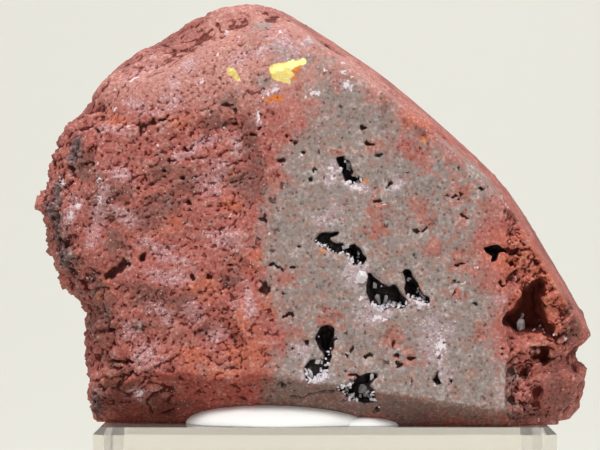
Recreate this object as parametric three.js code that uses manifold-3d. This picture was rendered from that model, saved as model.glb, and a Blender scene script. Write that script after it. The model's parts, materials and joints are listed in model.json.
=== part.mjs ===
// A lump of cuprite, sawn and polished on its front, pressed into a wad of white putty on a
// clear display block. Millimetres, +Z up. The polished face looks along -Y. The origin is the
// centre of the block's underside.
import * as THREE from 'three'
import { mergeVertices } from 'three/addons/utils/BufferGeometryUtils.js'
import Module from 'manifold-3d'

const wasm = await Module()
wasm.setup()

// Driving dimensions of the holder
const BLOCK_SIDE = 32
const BLOCK_HEIGHT = 12
const BLOCK_CHAMFER = 0.5
const PUTTY = { x: -3, y: -11.4, wide: 13.6, long: 8.2, tall: 1.6 }
const PUTTY_LOBE = { x: 2.9, y: -12.9, wide: 4.6, long: 3.6, tall: 0.62 }
const PUTTY_FACETS = 5
const PUTTY_CLEARANCE = 0.3

// Driving dimensions of the stone. Its own frame has z = 0 at the flat base.
const FACE_DEPTH = -15.5
const WIDEST_DEPTH = -6
const BACK_DEPTH = 8.5
const STONE_HEART = new THREE.Vector3(-0.5, -4, 12)
const LEFT_ROUNDING = 3.2
const RIGHT_ROUNDING = 0.6
const BACK_ROUNDING = 4
const BREAK_ROUNDING = 1.4
const BODY_RAYS_DETAIL = 15

// The sides narrow towards the front and the back by these amounts times the square of the way,
// less at the front of the sawn right half. The change is spread over a band of x.
const SIDE_TAPER = 0.02
const SAWN_SIDE_TAPER = 0.006
const SAWN_HALF = { from: -6, to: 0 }

// Towards the front and the back the outline also sways: how far, and over what lengths. Sway and
// lumps fade out over a length around the widest depth, which keeps the outline there.
const SWAY = { reach: 0.8, wide: 6, deep: 3, tall: 6, seeds: [5, 6] }
const OUTLINE_KEEP = 6

// The natural outline of the stone at its widest depth, as x and height, anticlockwise as seen
// from the front: base, ragged left side, top, sawn upper right side, broken lower right corner
const OUTLINE = [
  [17, -3], [17.7, 0], [18.5, 0.8], [18.7, 2.3], [18.9, 3.9], [17.8, 4.2], [17.9, 4.9],
  [18.9, 5.9], [18.9, 7.2], [16.6, 11.5], [13.2, 16.8], [10.1, 19.8], [4.9, 24.4], [-0.4, 27.9],
  [-2.4, 29.1], [-4.4, 29.8], [-6, 29.8], [-7.9, 29.3], [-9.2, 28.7], [-11.5, 27.3], [-13.5, 26.4],
  [-15, 25.2], [-16.2, 23.9], [-16.7, 22.7], [-17.5, 21.9], [-18.5, 21.4], [-19, 20.1],
  [-19.3, 18.4], [-19.7, 16.7], [-20.2, 15.2], [-19.8, 13.7], [-19.9, 13.1], [-19.2, 11.1],
  [-18.7, 9.7], [-17.5, 8.6], [-17.3, 7.7], [-16.9, 6.6], [-17.3, 6.1], [-17, 3.7],
  [-16.8, 1.8], [-16.7, 0.4], [-16.5, -3]
]

// How far the natural front lies behind the polished face: level on the left, rounding back at
// the top, broken away on the right, and proud of the face in the middle, where it was sawn off.
// On the right it drops in a sharp step near the base and falls away gently above it.
const PROUD_MIDDLE = 0.8
const LEFT_STEP = { from: -6.2, to: -4.2, depth: 0.3, curl: 2.6, wander: 1.7, bend: 2.6, seed: 41 }
const TOP_CURVE = { from: 20.5, depth: 3.4 }
const RIGHT_STEP = { from: 12.3, to: 12.9, depth: 0.9, wander: 0.3, bend: 1.9, seed: 43 }
const RIGHT_FALL = { from: 10.4, to: 14, depth: 0.4, slope: 0.14, above: [4.2, 6] }
const STONE_HEIGHT = 29.8
const LEFT_EDGE = -20.2

// The flat breaks that shape the back, each by a point on it and the way it faces
const BREAKS = [
  { point: [-5, 1.5, 27.6], faces: [-0.15, 0.7, 0.7] },
  { point: [-16.5, 1.5, 15], faces: [-0.8, 0.6, 0.05] },
  { point: [9, 6, 14], faces: [0.55, 0.75, 0.38] },
  { point: [2, 7.2, 4.5], faces: [0.1, 0.86, -0.5] },
  { point: [-12, 5.5, 24], faces: [-0.6, 0.55, 0.58] }
]

// Sawn and polished cuts, each by a point on it and the way it faces. The three side cuts follow
// the upper right edge and open out backwards, so that they show as a narrow band from the front.
const SIDE_CUT_OPENING = 0.14
const SIDE_CUTS = [
  { from: [-3.9, 30], to: [4.9, 24.4] },
  { from: [4.9, 24.4], to: [13.2, 16.8] },
  { from: [13.2, 16.8], to: [18.9, 7.2] }
]
const BEVEL_EDGE = { left: [-12, 4.7], right: [12.7, 0.95], foot_depth: -10.8 }

// How broken the surface is by region, from 0 to 1: full on the sides, the back and the right
const ROUGH = { polished: 0.2, left: 0.4, top_loss: 0.7, top_fade: 4, side_from: 1, side_to: 5 }

// Lumps of the broken surface: spacing and height of each size. The surface is sunk by LUMP_SINK
// where it is rough, so that the lumps don't stand outside the outline.
const LUMP_SINK = 0.65
const LUMPS = [
  { spacing: 5.2, height: 0.75, seed: 11 },
  { spacing: 2.3, height: 0.42, seed: 23 },
  { spacing: 1.2, height: 0.2, seed: 37 }
]

// Ledges across the broken surface, which rise to the right
const LEDGE = { spacing: 3.6, depth: 0.7, rise: 0.22, wander: 1.6, bend: 6, seed: 53, riser: 0.3 }

// Hollows in the front, each by its middle as x and height, its size, and its turn in degrees.
// The ones with a crust hold small crystals.
const HOLLOWS = [
  { x: 1.65, z: 17.85, wide: 1.3, tall: 2.7, deep: 1.3, turn: 42, crust: 'vug_crystals_upper' },
  { x: 0.5, z: 12.45, wide: 2, tall: 1.1, deep: 0.8, turn: -14, crust: 'vug_crystals_olive' },
  { x: 2.25, z: 11.8, wide: 1.3, tall: 1.5, deep: 1.5, turn: 20 },
  {
    x: 3.6, z: 9.55, wide: 3.1, tall: 2.2, deep: 1.6, turn: -22, crust: 'vug_crystals_middle',
    largest: { x: 2.75, z: 10.1, size: 0.5 }
  },
  { x: 6.3, z: 9.7, wide: 1.3, tall: 3, deep: 1.5, turn: 30, crust: 'vug_crystals_right' },
  { x: 0, z: 6.1, wide: 1.2, tall: 2.1, deep: 1.4, turn: -10 },
  { x: -0.7, z: 4.3, wide: 1.9, tall: 2.1, deep: 1, turn: -20, crust: 'vug_crystals_lower' },
  { x: 2.75, z: 2.75, wide: 3.6, tall: 2, deep: 1.9, turn: 8, crust: 'vug_crystals_bottom' },
  { x: 7.75, z: 3.5, wide: 0.6, tall: 1.1, deep: 0.6, turn: 0 },
  { x: -3.1, z: 18.4, wide: 1, tall: 0.6, deep: 0.6, turn: 0 },
  { x: -7.3, z: 27.6, wide: 0.7, tall: 0.6, deep: 0.6, turn: 0 },
  { x: -12.5, z: 20.6, wide: 1, tall: 1.6, deep: 0.6, turn: 45 },
  { x: -17.3, z: 19.9, wide: 0.9, tall: 2, deep: 1, turn: -10 },
  { x: -16.2, z: 6.2, wide: 0.8, tall: 2.6, deep: 1, turn: 18 },
  { x: -8.4, z: 20.5, wide: 1.6, tall: 0.5, deep: 0.5, turn: -30 },
  { x: -14.2, z: 10.9, wide: 1, tall: 1.5, deep: 0.9, turn: -15 },
  { x: -13.9, z: 4.4, wide: 1.1, tall: 1.3, deep: 1.1, turn: 20 },
  { x: -12.3, z: 2.3, wide: 1.8, tall: 1.4, deep: 1.2, turn: 10 },
  { x: 13.1, z: 11.9, wide: 2.4, tall: 0.8, deep: 0.9, turn: 12 },
  { x: 15.4, z: 4.6, wide: 3, tall: 1.1, deep: 1.4, turn: 8 },
  { x: 14.9, z: 2.3, wide: 1, tall: 2, deep: 0.9, turn: 5 }
]

// The big cavity on the right: overlapping chambers that make its pear shape
const CAVITY = [
  { x: 14.9, z: 9, wide: 1.7, tall: 3.2, deep: 2.6, turn: 8 },
  {
    x: 14.5, z: 7.5, wide: 3, tall: 3.4, deep: 3.2, turn: 0, crust: 'cavity_crystals',
    largest: { x: 13.9, z: 6.6, size: 0.55 }
  },
  { x: 13.1, z: 7.3, wide: 2.2, tall: 1.7, deep: 1.8, turn: 0 },
  { x: 15.6, z: 6.7, wide: 1.2, tall: 2.4, deep: 1.8, turn: -28 }
]

// Hollows and wads of putty are unevenly round: how much, over what share of their size
const UNEVEN = { height: 0.12, lumps: 2, seed: 71 }

// Crystal crusts, as shares of the hollow: outside and inside of the crust, the ring of crystals
// on it, how deep they sit and how large they are. The front stays below the hollow's mouth.
const CRUST = { outside: 0.88, inside: 0.52, forward: 0.1, below_mouth: 0.15 }
const CRYSTALS = { count: 7, ring: 0.3, depth: 0.3, size: 0.15, variety: 0.35, sizes: 3 }
const CRYSTAL_TURNS = { x: 1.3, z: 2.1 }

const MATERIALS = {
  stone: { color: 0x9a5f57, roughness: 0.62, metalness: 0 },
  crystals: { color: 0xd9cdd8, roughness: 0.18, metalness: 0 },
  putty: { color: 0xfdfdfb, roughness: 0.7, metalness: 0 },
  block: { color: 0xf6efe2, roughness: 0.05, metalness: 0, transparent: true, opacity: 0.35 }
}

// Repeatable number between 0 and 1 for a point of the whole-number lattice
function latticeValue(i, j, k, seed) {
  let bits = Math.imul(i, 73856093) ^ Math.imul(j, 19349663) ^ Math.imul(k, 83492791)
  bits = Math.imul(bits ^ Math.imul(seed, 2654435761), 2246822519)
  bits = Math.imul(bits ^ (bits >>> 15), 3266489917)
  return ((bits ^ (bits >>> 13)) >>> 0) / 4294967295
}

// Smooth noise between -1 and 1, one lump to each unit of length
function smoothNoise(x, y, z, seed) {
  const corner = [Math.floor(x), Math.floor(y), Math.floor(z)]
  const along = [x - corner[0], y - corner[1], z - corner[2]].map((t) => t * t * (3 - 2 * t))
  let sum = 0
  for (let step = 0; step < 8; step++) {
    const side = [step & 1, (step >> 1) & 1, step >> 2]
    const share = side.map((s, axis) => (s ? along[axis] : 1 - along[axis]))
    const value = latticeValue(corner[0] + side[0], corner[1] + side[1], corner[2] + side[2], seed)
    sum += value * share[0] * share[1] * share[2]
  }
  return 2 * sum - 1
}

function smoothMax(a, b, radius) {
  const near = Math.max(radius - Math.abs(a - b), 0) / radius
  return Math.max(a, b) + radius * near * near / 4
}

function smoothStep(from, to, value) {
  const t = Math.min(Math.max((value - from) / (to - from), 0), 1)
  return t * t * (3 - 2 * t)
}

// Distance to the stone's outline, negative inside it
function outlineDistance(x, z) {
  let nearest = Infinity
  let inside = false
  for (let i = 0; i < OUTLINE.length; i++) {
    const [ax, az] = OUTLINE[i]
    const [bx, bz] = OUTLINE[(i + 1) % OUTLINE.length]
    const along = ((x - ax) * (bx - ax) + (z - az) * (bz - az)) / ((bx - ax) ** 2 + (bz - az) ** 2)
    const t = Math.min(Math.max(along, 0), 1)
    nearest = Math.min(nearest, Math.hypot(x - ax - t * (bx - ax), z - az - t * (bz - az)))
    const crosses = (az > z) !== (bz > z)
    if (crosses && x < ax + (z - az) / (bz - az) * (bx - ax)) {
      inside = !inside
    }
  }
  return inside ? -nearest : nearest
}

// Depth of the natural front behind the polished face
function setBack(x, z) {
  const leftX = x + LEFT_STEP.wander * smoothNoise(0, z / LEFT_STEP.bend, 0, LEFT_STEP.seed)
  const rightX = x + RIGHT_STEP.wander * smoothNoise(0, z / RIGHT_STEP.bend, 0, RIGHT_STEP.seed)
  const left = 1 - smoothStep(LEFT_STEP.from, LEFT_STEP.to, leftX)
  const above = smoothStep(RIGHT_FALL.above[0], RIGHT_FALL.above[1], z)
  const step = (1 - above) * smoothStep(RIGHT_STEP.from, RIGHT_STEP.to, rightX)
  const fall = above * smoothStep(RIGHT_FALL.from, RIGHT_FALL.to, rightX)
  const curl = LEFT_STEP.curl * (Math.max(LEFT_STEP.to - x, 0) / (LEFT_STEP.to - LEFT_EDGE)) ** 2
  const top = Math.max(z - TOP_CURVE.from, 0) / (STONE_HEIGHT - TOP_CURVE.from)
  const rightSlope = RIGHT_FALL.slope * Math.max(x - RIGHT_STEP.from, 0)
  return -PROUD_MIDDLE + left * (PROUD_MIDDLE + LEFT_STEP.depth) + curl
    + step * (PROUD_MIDDLE + RIGHT_STEP.depth) + fall * (PROUD_MIDDLE + RIGHT_FALL.depth)
    + rightSlope + TOP_CURVE.depth * top * top
}

// How broken the surface is: 1 on the sides, the back and the right, less on the front and
// least at the smooth top
function roughness(x, y, z) {
  const behindFace = smoothStep(FACE_DEPTH + ROUGH.side_from, FACE_DEPTH + ROUGH.side_to, y)
  const brokenRight = smoothStep(RIGHT_STEP.from, RIGHT_STEP.to, x)
  const brokenLeft = ROUGH.left * (1 - smoothStep(LEFT_STEP.from, LEFT_STEP.to, x))
  const top = smoothStep(TOP_CURVE.from, TOP_CURVE.from + ROUGH.top_fade, z)
  return Math.max(ROUGH.polished, behindFace, brokenRight, brokenLeft * (1 - ROUGH.top_loss * top))
}

// Each ledge juts out towards its upper edge, then steps back over a short riser
function ledges(x, y, z) {
  const b = LEDGE.bend
  const wander = LEDGE.wander * smoothNoise(x / b, y / b, z / b, LEDGE.seed)
  const level = (z - LEDGE.rise * x + wander) / LEDGE.spacing
  const part = level - Math.floor(level)
  const top = 1 - LEDGE.riser
  const out = part < top ? part / top : (1 - part) / LEDGE.riser
  return LEDGE.depth * (0.5 - out)
}

function lumps(x, y, z) {
  let height = ledges(x, y, z)
  for (const lump of LUMPS) {
    const s = lump.spacing
    height += lump.height * smoothNoise(x / s, y / s, z / s, lump.seed)
  }
  return roughness(x, y, z) * height
}

// The unsawn stone as a field: negative inside, zero on the surface
function naturalStone(x, y, z) {
  const away = smoothStep(0, OUTLINE_KEEP, Math.abs(y - WIDEST_DEPTH))
  const [swayX, swayZ] = SWAY.seeds.map((seed) => {
    return SWAY.reach * away * smoothNoise(x / SWAY.wide, y / SWAY.deep, z / SWAY.tall, seed)
  })
  const sawn = smoothStep(SAWN_HALF.from, SAWN_HALF.to, x)
  const frontTaper = SIDE_TAPER + (SAWN_SIDE_TAPER - SIDE_TAPER) * sawn
  const taper = y < WIDEST_DEPTH ? frontTaper : SIDE_TAPER
  const side = outlineDistance(x + swayX, z + swayZ) + taper * (y - WIDEST_DEPTH) ** 2
  const front = FACE_DEPTH + setBack(x, z) - y
  const rounding = LEFT_ROUNDING + (RIGHT_ROUNDING - LEFT_ROUNDING) * sawn
  let body = smoothMax(side, front, rounding)
  body = smoothMax(body, y - BACK_DEPTH, BACK_ROUNDING)
  for (const plane of BREAKS) {
    const [px, py, pz] = plane.point
    const [nx, ny, nz] = plane.faces
    const beyond = (x - px) * nx + (y - py) * ny + (z - pz) * nz
    body = smoothMax(body, beyond, BREAK_ROUNDING)
  }
  return body + away * (lumps(x, y, z) + LUMP_SINK * roughness(x, y, z))
}

// Turns a geometry into a solid, and back
function solidFrom(geometry) {
  const bare = geometry.clone()
  bare.deleteAttribute('normal')
  bare.deleteAttribute('uv')
  const merged = mergeVertices(bare, 1e-5)
  const vertProperties = new Float32Array(merged.attributes.position.array)
  const triVerts = new Uint32Array(merged.index.array)
  return new wasm.Manifold(new wasm.Mesh({ numProp: 3, vertProperties, triVerts }))
}

function geometryFrom(solid) {
  const mesh = solid.getMesh()
  const geometry = new THREE.BufferGeometry()
  geometry.setAttribute('position', new THREE.BufferAttribute(mesh.vertProperties, 3))
  geometry.setIndex(new THREE.BufferAttribute(mesh.triVerts, 1))
  const faceted = geometry.toNonIndexed()
  faceted.computeVertexNormals()
  return faceted
}

// Halves the way from the heart of the stone outwards until it meets the surface of its field
function surfaceAlong(direction) {
  const halvings = 40
  let inner = 0
  let outer = STONE_HEIGHT + BLOCK_SIDE
  for (let step = 0; step < halvings; step++) {
    const middle = (inner + outer) / 2
    const p = STONE_HEART.clone().addScaledVector(direction, middle)
    if (naturalStone(p.x, p.y, p.z) < 0) {
      inner = middle
    } else {
      outer = middle
    }
  }
  return STONE_HEART.clone().addScaledVector(direction, inner)
}

function naturalBody() {
  const ball = new THREE.IcosahedronGeometry(1, BODY_RAYS_DETAIL)
  const position = ball.attributes.position
  for (let i = 0; i < position.count; i++) {
    const direction = new THREE.Vector3().fromBufferAttribute(position, i).normalize()
    const p = surfaceAlong(direction)
    position.setXYZ(i, p.x, p.y, p.z)
  }
  return solidFrom(ball)
}

// Everything on the outer side of a flat cut
function beyondCut(point, normal) {
  const reach = 3 * STONE_HEIGHT
  const box = new THREE.BoxGeometry(reach, reach, reach)
  box.translate(0, 0, reach / 2)
  box.applyQuaternion(new THREE.Quaternion().setFromUnitVectors(new THREE.Vector3(0, 0, 1), normal))
  box.translate(point.x, point.y, point.z)
  return solidFrom(box)
}

function sideCut({ from, to }) {
  const along = new THREE.Vector2(to[0] - from[0], to[1] - from[1]).normalize()
  const normal = new THREE.Vector3(-along.y, -SIDE_CUT_OPENING, along.x).normalize()
  return beyondCut(new THREE.Vector3(from[0], WIDEST_DEPTH, from[1]), normal)
}

// The undercut facet below the polished face, through its upper edge and its foot
function bevelCut() {
  const left = new THREE.Vector3(BEVEL_EDGE.left[0], FACE_DEPTH, BEVEL_EDGE.left[1])
  const right = new THREE.Vector3(BEVEL_EDGE.right[0], FACE_DEPTH, BEVEL_EDGE.right[1])
  const foot = new THREE.Vector3(BEVEL_EDGE.left[0], BEVEL_EDGE.foot_depth, 0)
  const normal = right.clone().sub(left).cross(foot.clone().sub(left)).normalize()
  if (normal.y > 0) {
    normal.negate()
  }
  return beyondCut(left, normal)
}

// An egg-shaped facet ball, with uneven corners, to cut a hollow or to carry a crust
function pebble(size, seed, detail = 1) {
  const ball = new THREE.IcosahedronGeometry(1, detail)
  const position = ball.attributes.position
  for (let i = 0; i < position.count; i++) {
    const p = new THREE.Vector3().fromBufferAttribute(position, i).normalize()
    const n = UNEVEN.lumps
    const half = (1 + UNEVEN.height * smoothNoise(p.x * n + seed, p.y * n, p.z * n, UNEVEN.seed)) / 2
    position.setXYZ(i, p.x * half * size[0], p.y * half * size[1], p.z * half * size[2])
  }
  return ball
}

// Depth at which a line of sight from the front meets the stone
function surfaceDepth(x, z) {
  const stride = 0.05
  let y = FACE_DEPTH
  while (naturalStone(x, y, z) > 0 && y < WIDEST_DEPTH) {
    y += stride
  }
  return y
}

// A hollow's own shape, made larger or smaller by fit and moved forward
function hollowShape(hollow, fit = 1, forward = 0) {
  const size = [hollow.wide * fit, hollow.deep * 2 * fit, hollow.tall * fit]
  const shape = pebble(size, hollow.x)
  shape.rotateY(THREE.MathUtils.degToRad(-hollow.turn))
  shape.translate(hollow.x, surfaceDepth(hollow.x, hollow.z) - forward, hollow.z)
  return solidFrom(shape)
}

function puttyShape(wad, clearance) {
  const size = [wad.wide + 2 * clearance, wad.long + 2 * clearance, 2 * (wad.tall + clearance)]
  const shape = pebble(size, wad.x, PUTTY_FACETS)
  shape.translate(wad.x, wad.y, 0)
  return solidFrom(shape)
}

function stoneGeometry() {
  const down = new THREE.Vector3(0, 0, -1)
  const forward = new THREE.Vector3(0, -1, 0)
  let stone = naturalBody()
  stone = stone.subtract(beyondCut(new THREE.Vector3(0, FACE_DEPTH, 0), forward))
  for (const cut of SIDE_CUTS) {
    stone = stone.subtract(sideCut(cut))
  }
  stone = stone.subtract(bevelCut())
  stone = stone.subtract(beyondCut(new THREE.Vector3(0, 0, 0), down))
  for (const hollow of [...HOLLOWS, ...CAVITY]) {
    stone = stone.subtract(hollowShape(hollow))
  }
  stone = stone.subtract(puttyShape(PUTTY, PUTTY_CLEARANCE))
  stone = stone.subtract(puttyShape(PUTTY_LOBE, PUTTY_CLEARANCE))
  return geometryFrom(stone)
}

// A pointed crystal with flat faces: an octahedron, turned by its number in the crust
function crystal(size, number) {
  const shape = new THREE.OctahedronGeometry(size)
  shape.rotateX(number * CRYSTAL_TURNS.x)
  shape.rotateZ(number * CRYSTAL_TURNS.z)
  return shape
}

// The crust of crystals on the floor of a hollow, its front kept just inside the hollow's mouth
function crustGeometry(hollow) {
  const front = surfaceDepth(hollow.x, hollow.z) + CRUST.below_mouth
  const room = hollowShape(hollow, CRUST.outside)
  const turn = THREE.MathUtils.degToRad(hollow.turn)
  let crust = room.subtract(hollowShape(hollow, CRUST.inside, CRUST.forward))

  function grow(x, z, size, depth, number) {
    const grown = crystal(size, number)
    grown.translate(x, front + depth, z)
    crust = crust.add(solidFrom(grown).intersect(room))
  }
  for (let i = 0; i < CRYSTALS.count; i++) {
    const angle = i * Math.PI * 2 / CRYSTALS.count
    const across = Math.cos(angle) * hollow.wide * CRYSTALS.ring
    const up = Math.sin(angle) * hollow.tall * CRYSTALS.ring
    const larger = 1 + CRYSTALS.variety * (i % CRYSTALS.sizes)
    const x = hollow.x + across * Math.cos(turn) + up * Math.sin(turn)
    const z = hollow.z - across * Math.sin(turn) + up * Math.cos(turn)
    const size = CRYSTALS.size * larger * Math.min(hollow.wide, hollow.tall)
    grow(x, z, size, hollow.deep * CRYSTALS.depth, i)
  }
  if (hollow.largest) {
    const { x, z, size } = hollow.largest
    grow(x, z, size, size, CRYSTALS.count)
  }
  const cover = beyondCut(new THREE.Vector3(0, front, 0), new THREE.Vector3(0, -1, 0))
  return geometryFrom(crust.subtract(cover))
}

function puttyGeometry() {
  const below = beyondCut(new THREE.Vector3(0, 0, 0), new THREE.Vector3(0, 0, -1))
  const wad = puttyShape(PUTTY, 0).add(puttyShape(PUTTY_LOBE, 0))
  return geometryFrom(wad.subtract(below))
}

// Square block with all its edges chamfered
function blockGeometry() {
  const half = BLOCK_SIDE / 2 - BLOCK_CHAMFER
  const inner = half - BLOCK_CHAMFER
  const shape = new THREE.Shape([
    new THREE.Vector2(-inner, -half), new THREE.Vector2(inner, -half),
    new THREE.Vector2(half, -inner), new THREE.Vector2(half, inner),
    new THREE.Vector2(inner, half), new THREE.Vector2(-inner, half),
    new THREE.Vector2(-half, inner), new THREE.Vector2(-half, -inner)
  ])
  const geometry = new THREE.ExtrudeGeometry(shape, {
    depth: BLOCK_HEIGHT - 2 * BLOCK_CHAMFER,
    bevelEnabled: true,
    bevelSegments: 1,
    bevelSize: BLOCK_CHAMFER,
    bevelThickness: BLOCK_CHAMFER
  })
  geometry.translate(0, 0, BLOCK_CHAMFER)
  return geometry
}

function namedMesh(name, geometry, look) {
  const mesh = new THREE.Mesh(geometry, new THREE.MeshStandardMaterial(look))
  mesh.name = name
  return mesh
}

const specimen = new THREE.Group()
specimen.position.z = BLOCK_HEIGHT
specimen.add(namedMesh('stone', stoneGeometry(), MATERIALS.stone))
specimen.add(namedMesh('putty', puttyGeometry(), MATERIALS.putty))
for (const hollow of [...HOLLOWS, ...CAVITY].filter((entry) => entry.crust)) {
  specimen.add(namedMesh(hollow.crust, crustGeometry(hollow), MATERIALS.crystals))
}

const display = new THREE.Group()
display.add(namedMesh('clear_block', blockGeometry(), MATERIALS.block))
display.add(specimen)

export default display
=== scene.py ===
import json
import math

import bpy
import numpy as np
from mathutils import Euler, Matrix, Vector

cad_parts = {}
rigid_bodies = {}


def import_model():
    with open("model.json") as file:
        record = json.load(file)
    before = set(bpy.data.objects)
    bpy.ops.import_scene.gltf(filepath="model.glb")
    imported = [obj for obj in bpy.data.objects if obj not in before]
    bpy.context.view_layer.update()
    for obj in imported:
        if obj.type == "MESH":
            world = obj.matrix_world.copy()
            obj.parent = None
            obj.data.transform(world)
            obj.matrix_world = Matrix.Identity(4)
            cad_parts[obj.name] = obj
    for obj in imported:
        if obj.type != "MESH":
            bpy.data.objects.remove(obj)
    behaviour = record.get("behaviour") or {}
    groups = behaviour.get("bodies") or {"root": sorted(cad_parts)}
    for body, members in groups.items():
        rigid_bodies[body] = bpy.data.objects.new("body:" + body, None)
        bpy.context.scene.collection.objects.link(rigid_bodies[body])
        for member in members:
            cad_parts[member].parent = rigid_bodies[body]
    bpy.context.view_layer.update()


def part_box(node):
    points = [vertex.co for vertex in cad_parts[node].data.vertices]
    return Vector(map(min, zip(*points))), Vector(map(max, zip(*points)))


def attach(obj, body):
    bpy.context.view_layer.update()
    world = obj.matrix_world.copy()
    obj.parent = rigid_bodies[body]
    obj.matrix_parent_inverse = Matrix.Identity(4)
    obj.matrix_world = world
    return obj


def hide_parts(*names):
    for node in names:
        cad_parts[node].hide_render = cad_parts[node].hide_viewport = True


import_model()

# A sawn and polished lump of cuprite on a wad of white putty and a clear block.
# Sizes are millimetres in the stone's own frame: z = 0 at its flat base, on top of the block,
# and the polished face looks along -Y. Meshes are made in metres.
MM = 0.001
BLOCK_LOW, BLOCK_HIGH = [Vector(corner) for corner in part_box("clear_block")]
BLOCK_TOP = BLOCK_HIGH.z

# The camera looks level at the stone from the front, with the frame's middle a little left of
# the block's middle
FRAME_WIDTH_AT_BLOCK = 41.2
VIEW_DISTANCE = 190
VIEW_X = -1.717
VIEW_HEIGHT = 13.94
SENSOR = 36

# How finely the stone's surface is modelled
VOXEL = 0.13
STONE_TRIANGLES = 190000

# Driving sizes of the stone, as in its solid
FACE_DEPTH = -15.5
WIDEST_DEPTH = -6.0
BACK_DEPTH = 8.5
LEFT_ROUNDING = 3.2
RIGHT_ROUNDING = 0.6
BACK_ROUNDING = 4.0
BREAK_ROUNDING = 1.4
SIDE_TAPER = 0.02
SAWN_SIDE_TAPER = 0.006
SAWN_HALF = (-6, 0)
SIDE_SWAY = 0.8
LUMP_SINK = 0.65
STONE_HEIGHT = 29.8
LEFT_EDGE = -20.2
RIGHT_EDGE = 18.9

# Its outline at the widest depth, as x and height, anticlockwise as seen from the front
OUTLINE = [
    (17, -3), (17.7, 0), (18.5, 0.8), (18.7, 2.3), (18.9, 3.9), (17.8, 4.2), (17.9, 4.9),
    (18.9, 5.9), (18.9, 7.2), (16.6, 11.5), (13.2, 16.8), (10.1, 19.8), (4.9, 24.4), (-0.4, 27.9),
    (-2.4, 29.1), (-4.4, 29.8), (-6, 29.8), (-7.9, 29.3), (-9.2, 28.7), (-11.5, 27.3), (-13.5, 26.4),
    (-15, 25.2), (-16.2, 23.9), (-16.7, 22.7), (-17.5, 21.9), (-18.5, 21.4), (-19, 20.1),
    (-19.3, 18.4), (-19.7, 16.7), (-20.2, 15.2), (-19.8, 13.7), (-19.9, 13.1), (-19.2, 11.1),
    (-18.7, 9.7), (-17.5, 8.6), (-17.3, 7.7), (-16.9, 6.6), (-17.3, 6.1), (-17, 3.7),
    (-16.8, 1.8), (-16.7, 0.4), (-16.5, -3),
]

# How far the natural front lies behind the polished face
PROUD_MIDDLE = 0.8
LEFT_STEP = {"from": -6.2, "to": -4.2, "depth": 0.3, "curl": 2.6, "wander": 1.7}
TOP_CURVE = {"from": 20.5, "depth": 3.4}
RIGHT_STEP = {"from": 12.3, "to": 12.9, "depth": 0.9, "wander": 0.3}
RIGHT_FALL = {"from": 10.4, "to": 14, "depth": 0.4, "slope": 0.14, "above": (4.2, 6)}

# Flat breaks of the back, each by a point on it and the way it faces
BREAKS = [
    ((-5, 1.5, 27.6), (-0.15, 0.7, 0.7)),
    ((-16.5, 1.5, 15), (-0.8, 0.6, 0.05)),
    ((9, 6, 14), (0.55, 0.75, 0.38)),
    ((2, 7.2, 4.5), (0.1, 0.86, -0.5)),
    ((-12, 5.5, 24), (-0.6, 0.55, 0.58)),
]

SIDE_CUT_OPENING = 0.14
SIDE_CUTS = [((-3.9, 30), (4.9, 24.4)), ((4.9, 24.4), (13.2, 16.8)), ((13.2, 16.8), (18.9, 7.2))]
BEVEL_LEFT = (-12, 4.7)
BEVEL_RIGHT = (12.7, 0.95)
BEVEL_FOOT_DEPTH = -10.8

# Lumps of the broken surface: spacing, height and seed. Ledges cross it and rise to the right.
LUMPS = [(5.2, 0.75, 11), (2.3, 0.42, 23), (1.2, 0.2, 37)]
LEDGE = {"spacing": 3.6, "depth": 0.7, "rise": 0.22, "wander": 1.6, "riser": 0.3}

PUTTY = {"x": -3, "y": -11.4, "wide": 13.6, "long": 8.2, "tall": 1.6}
PUTTY_LOBE = {"x": 2.9, "y": -12.9, "wide": 4.6, "long": 3.6, "tall": 0.62}

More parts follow.
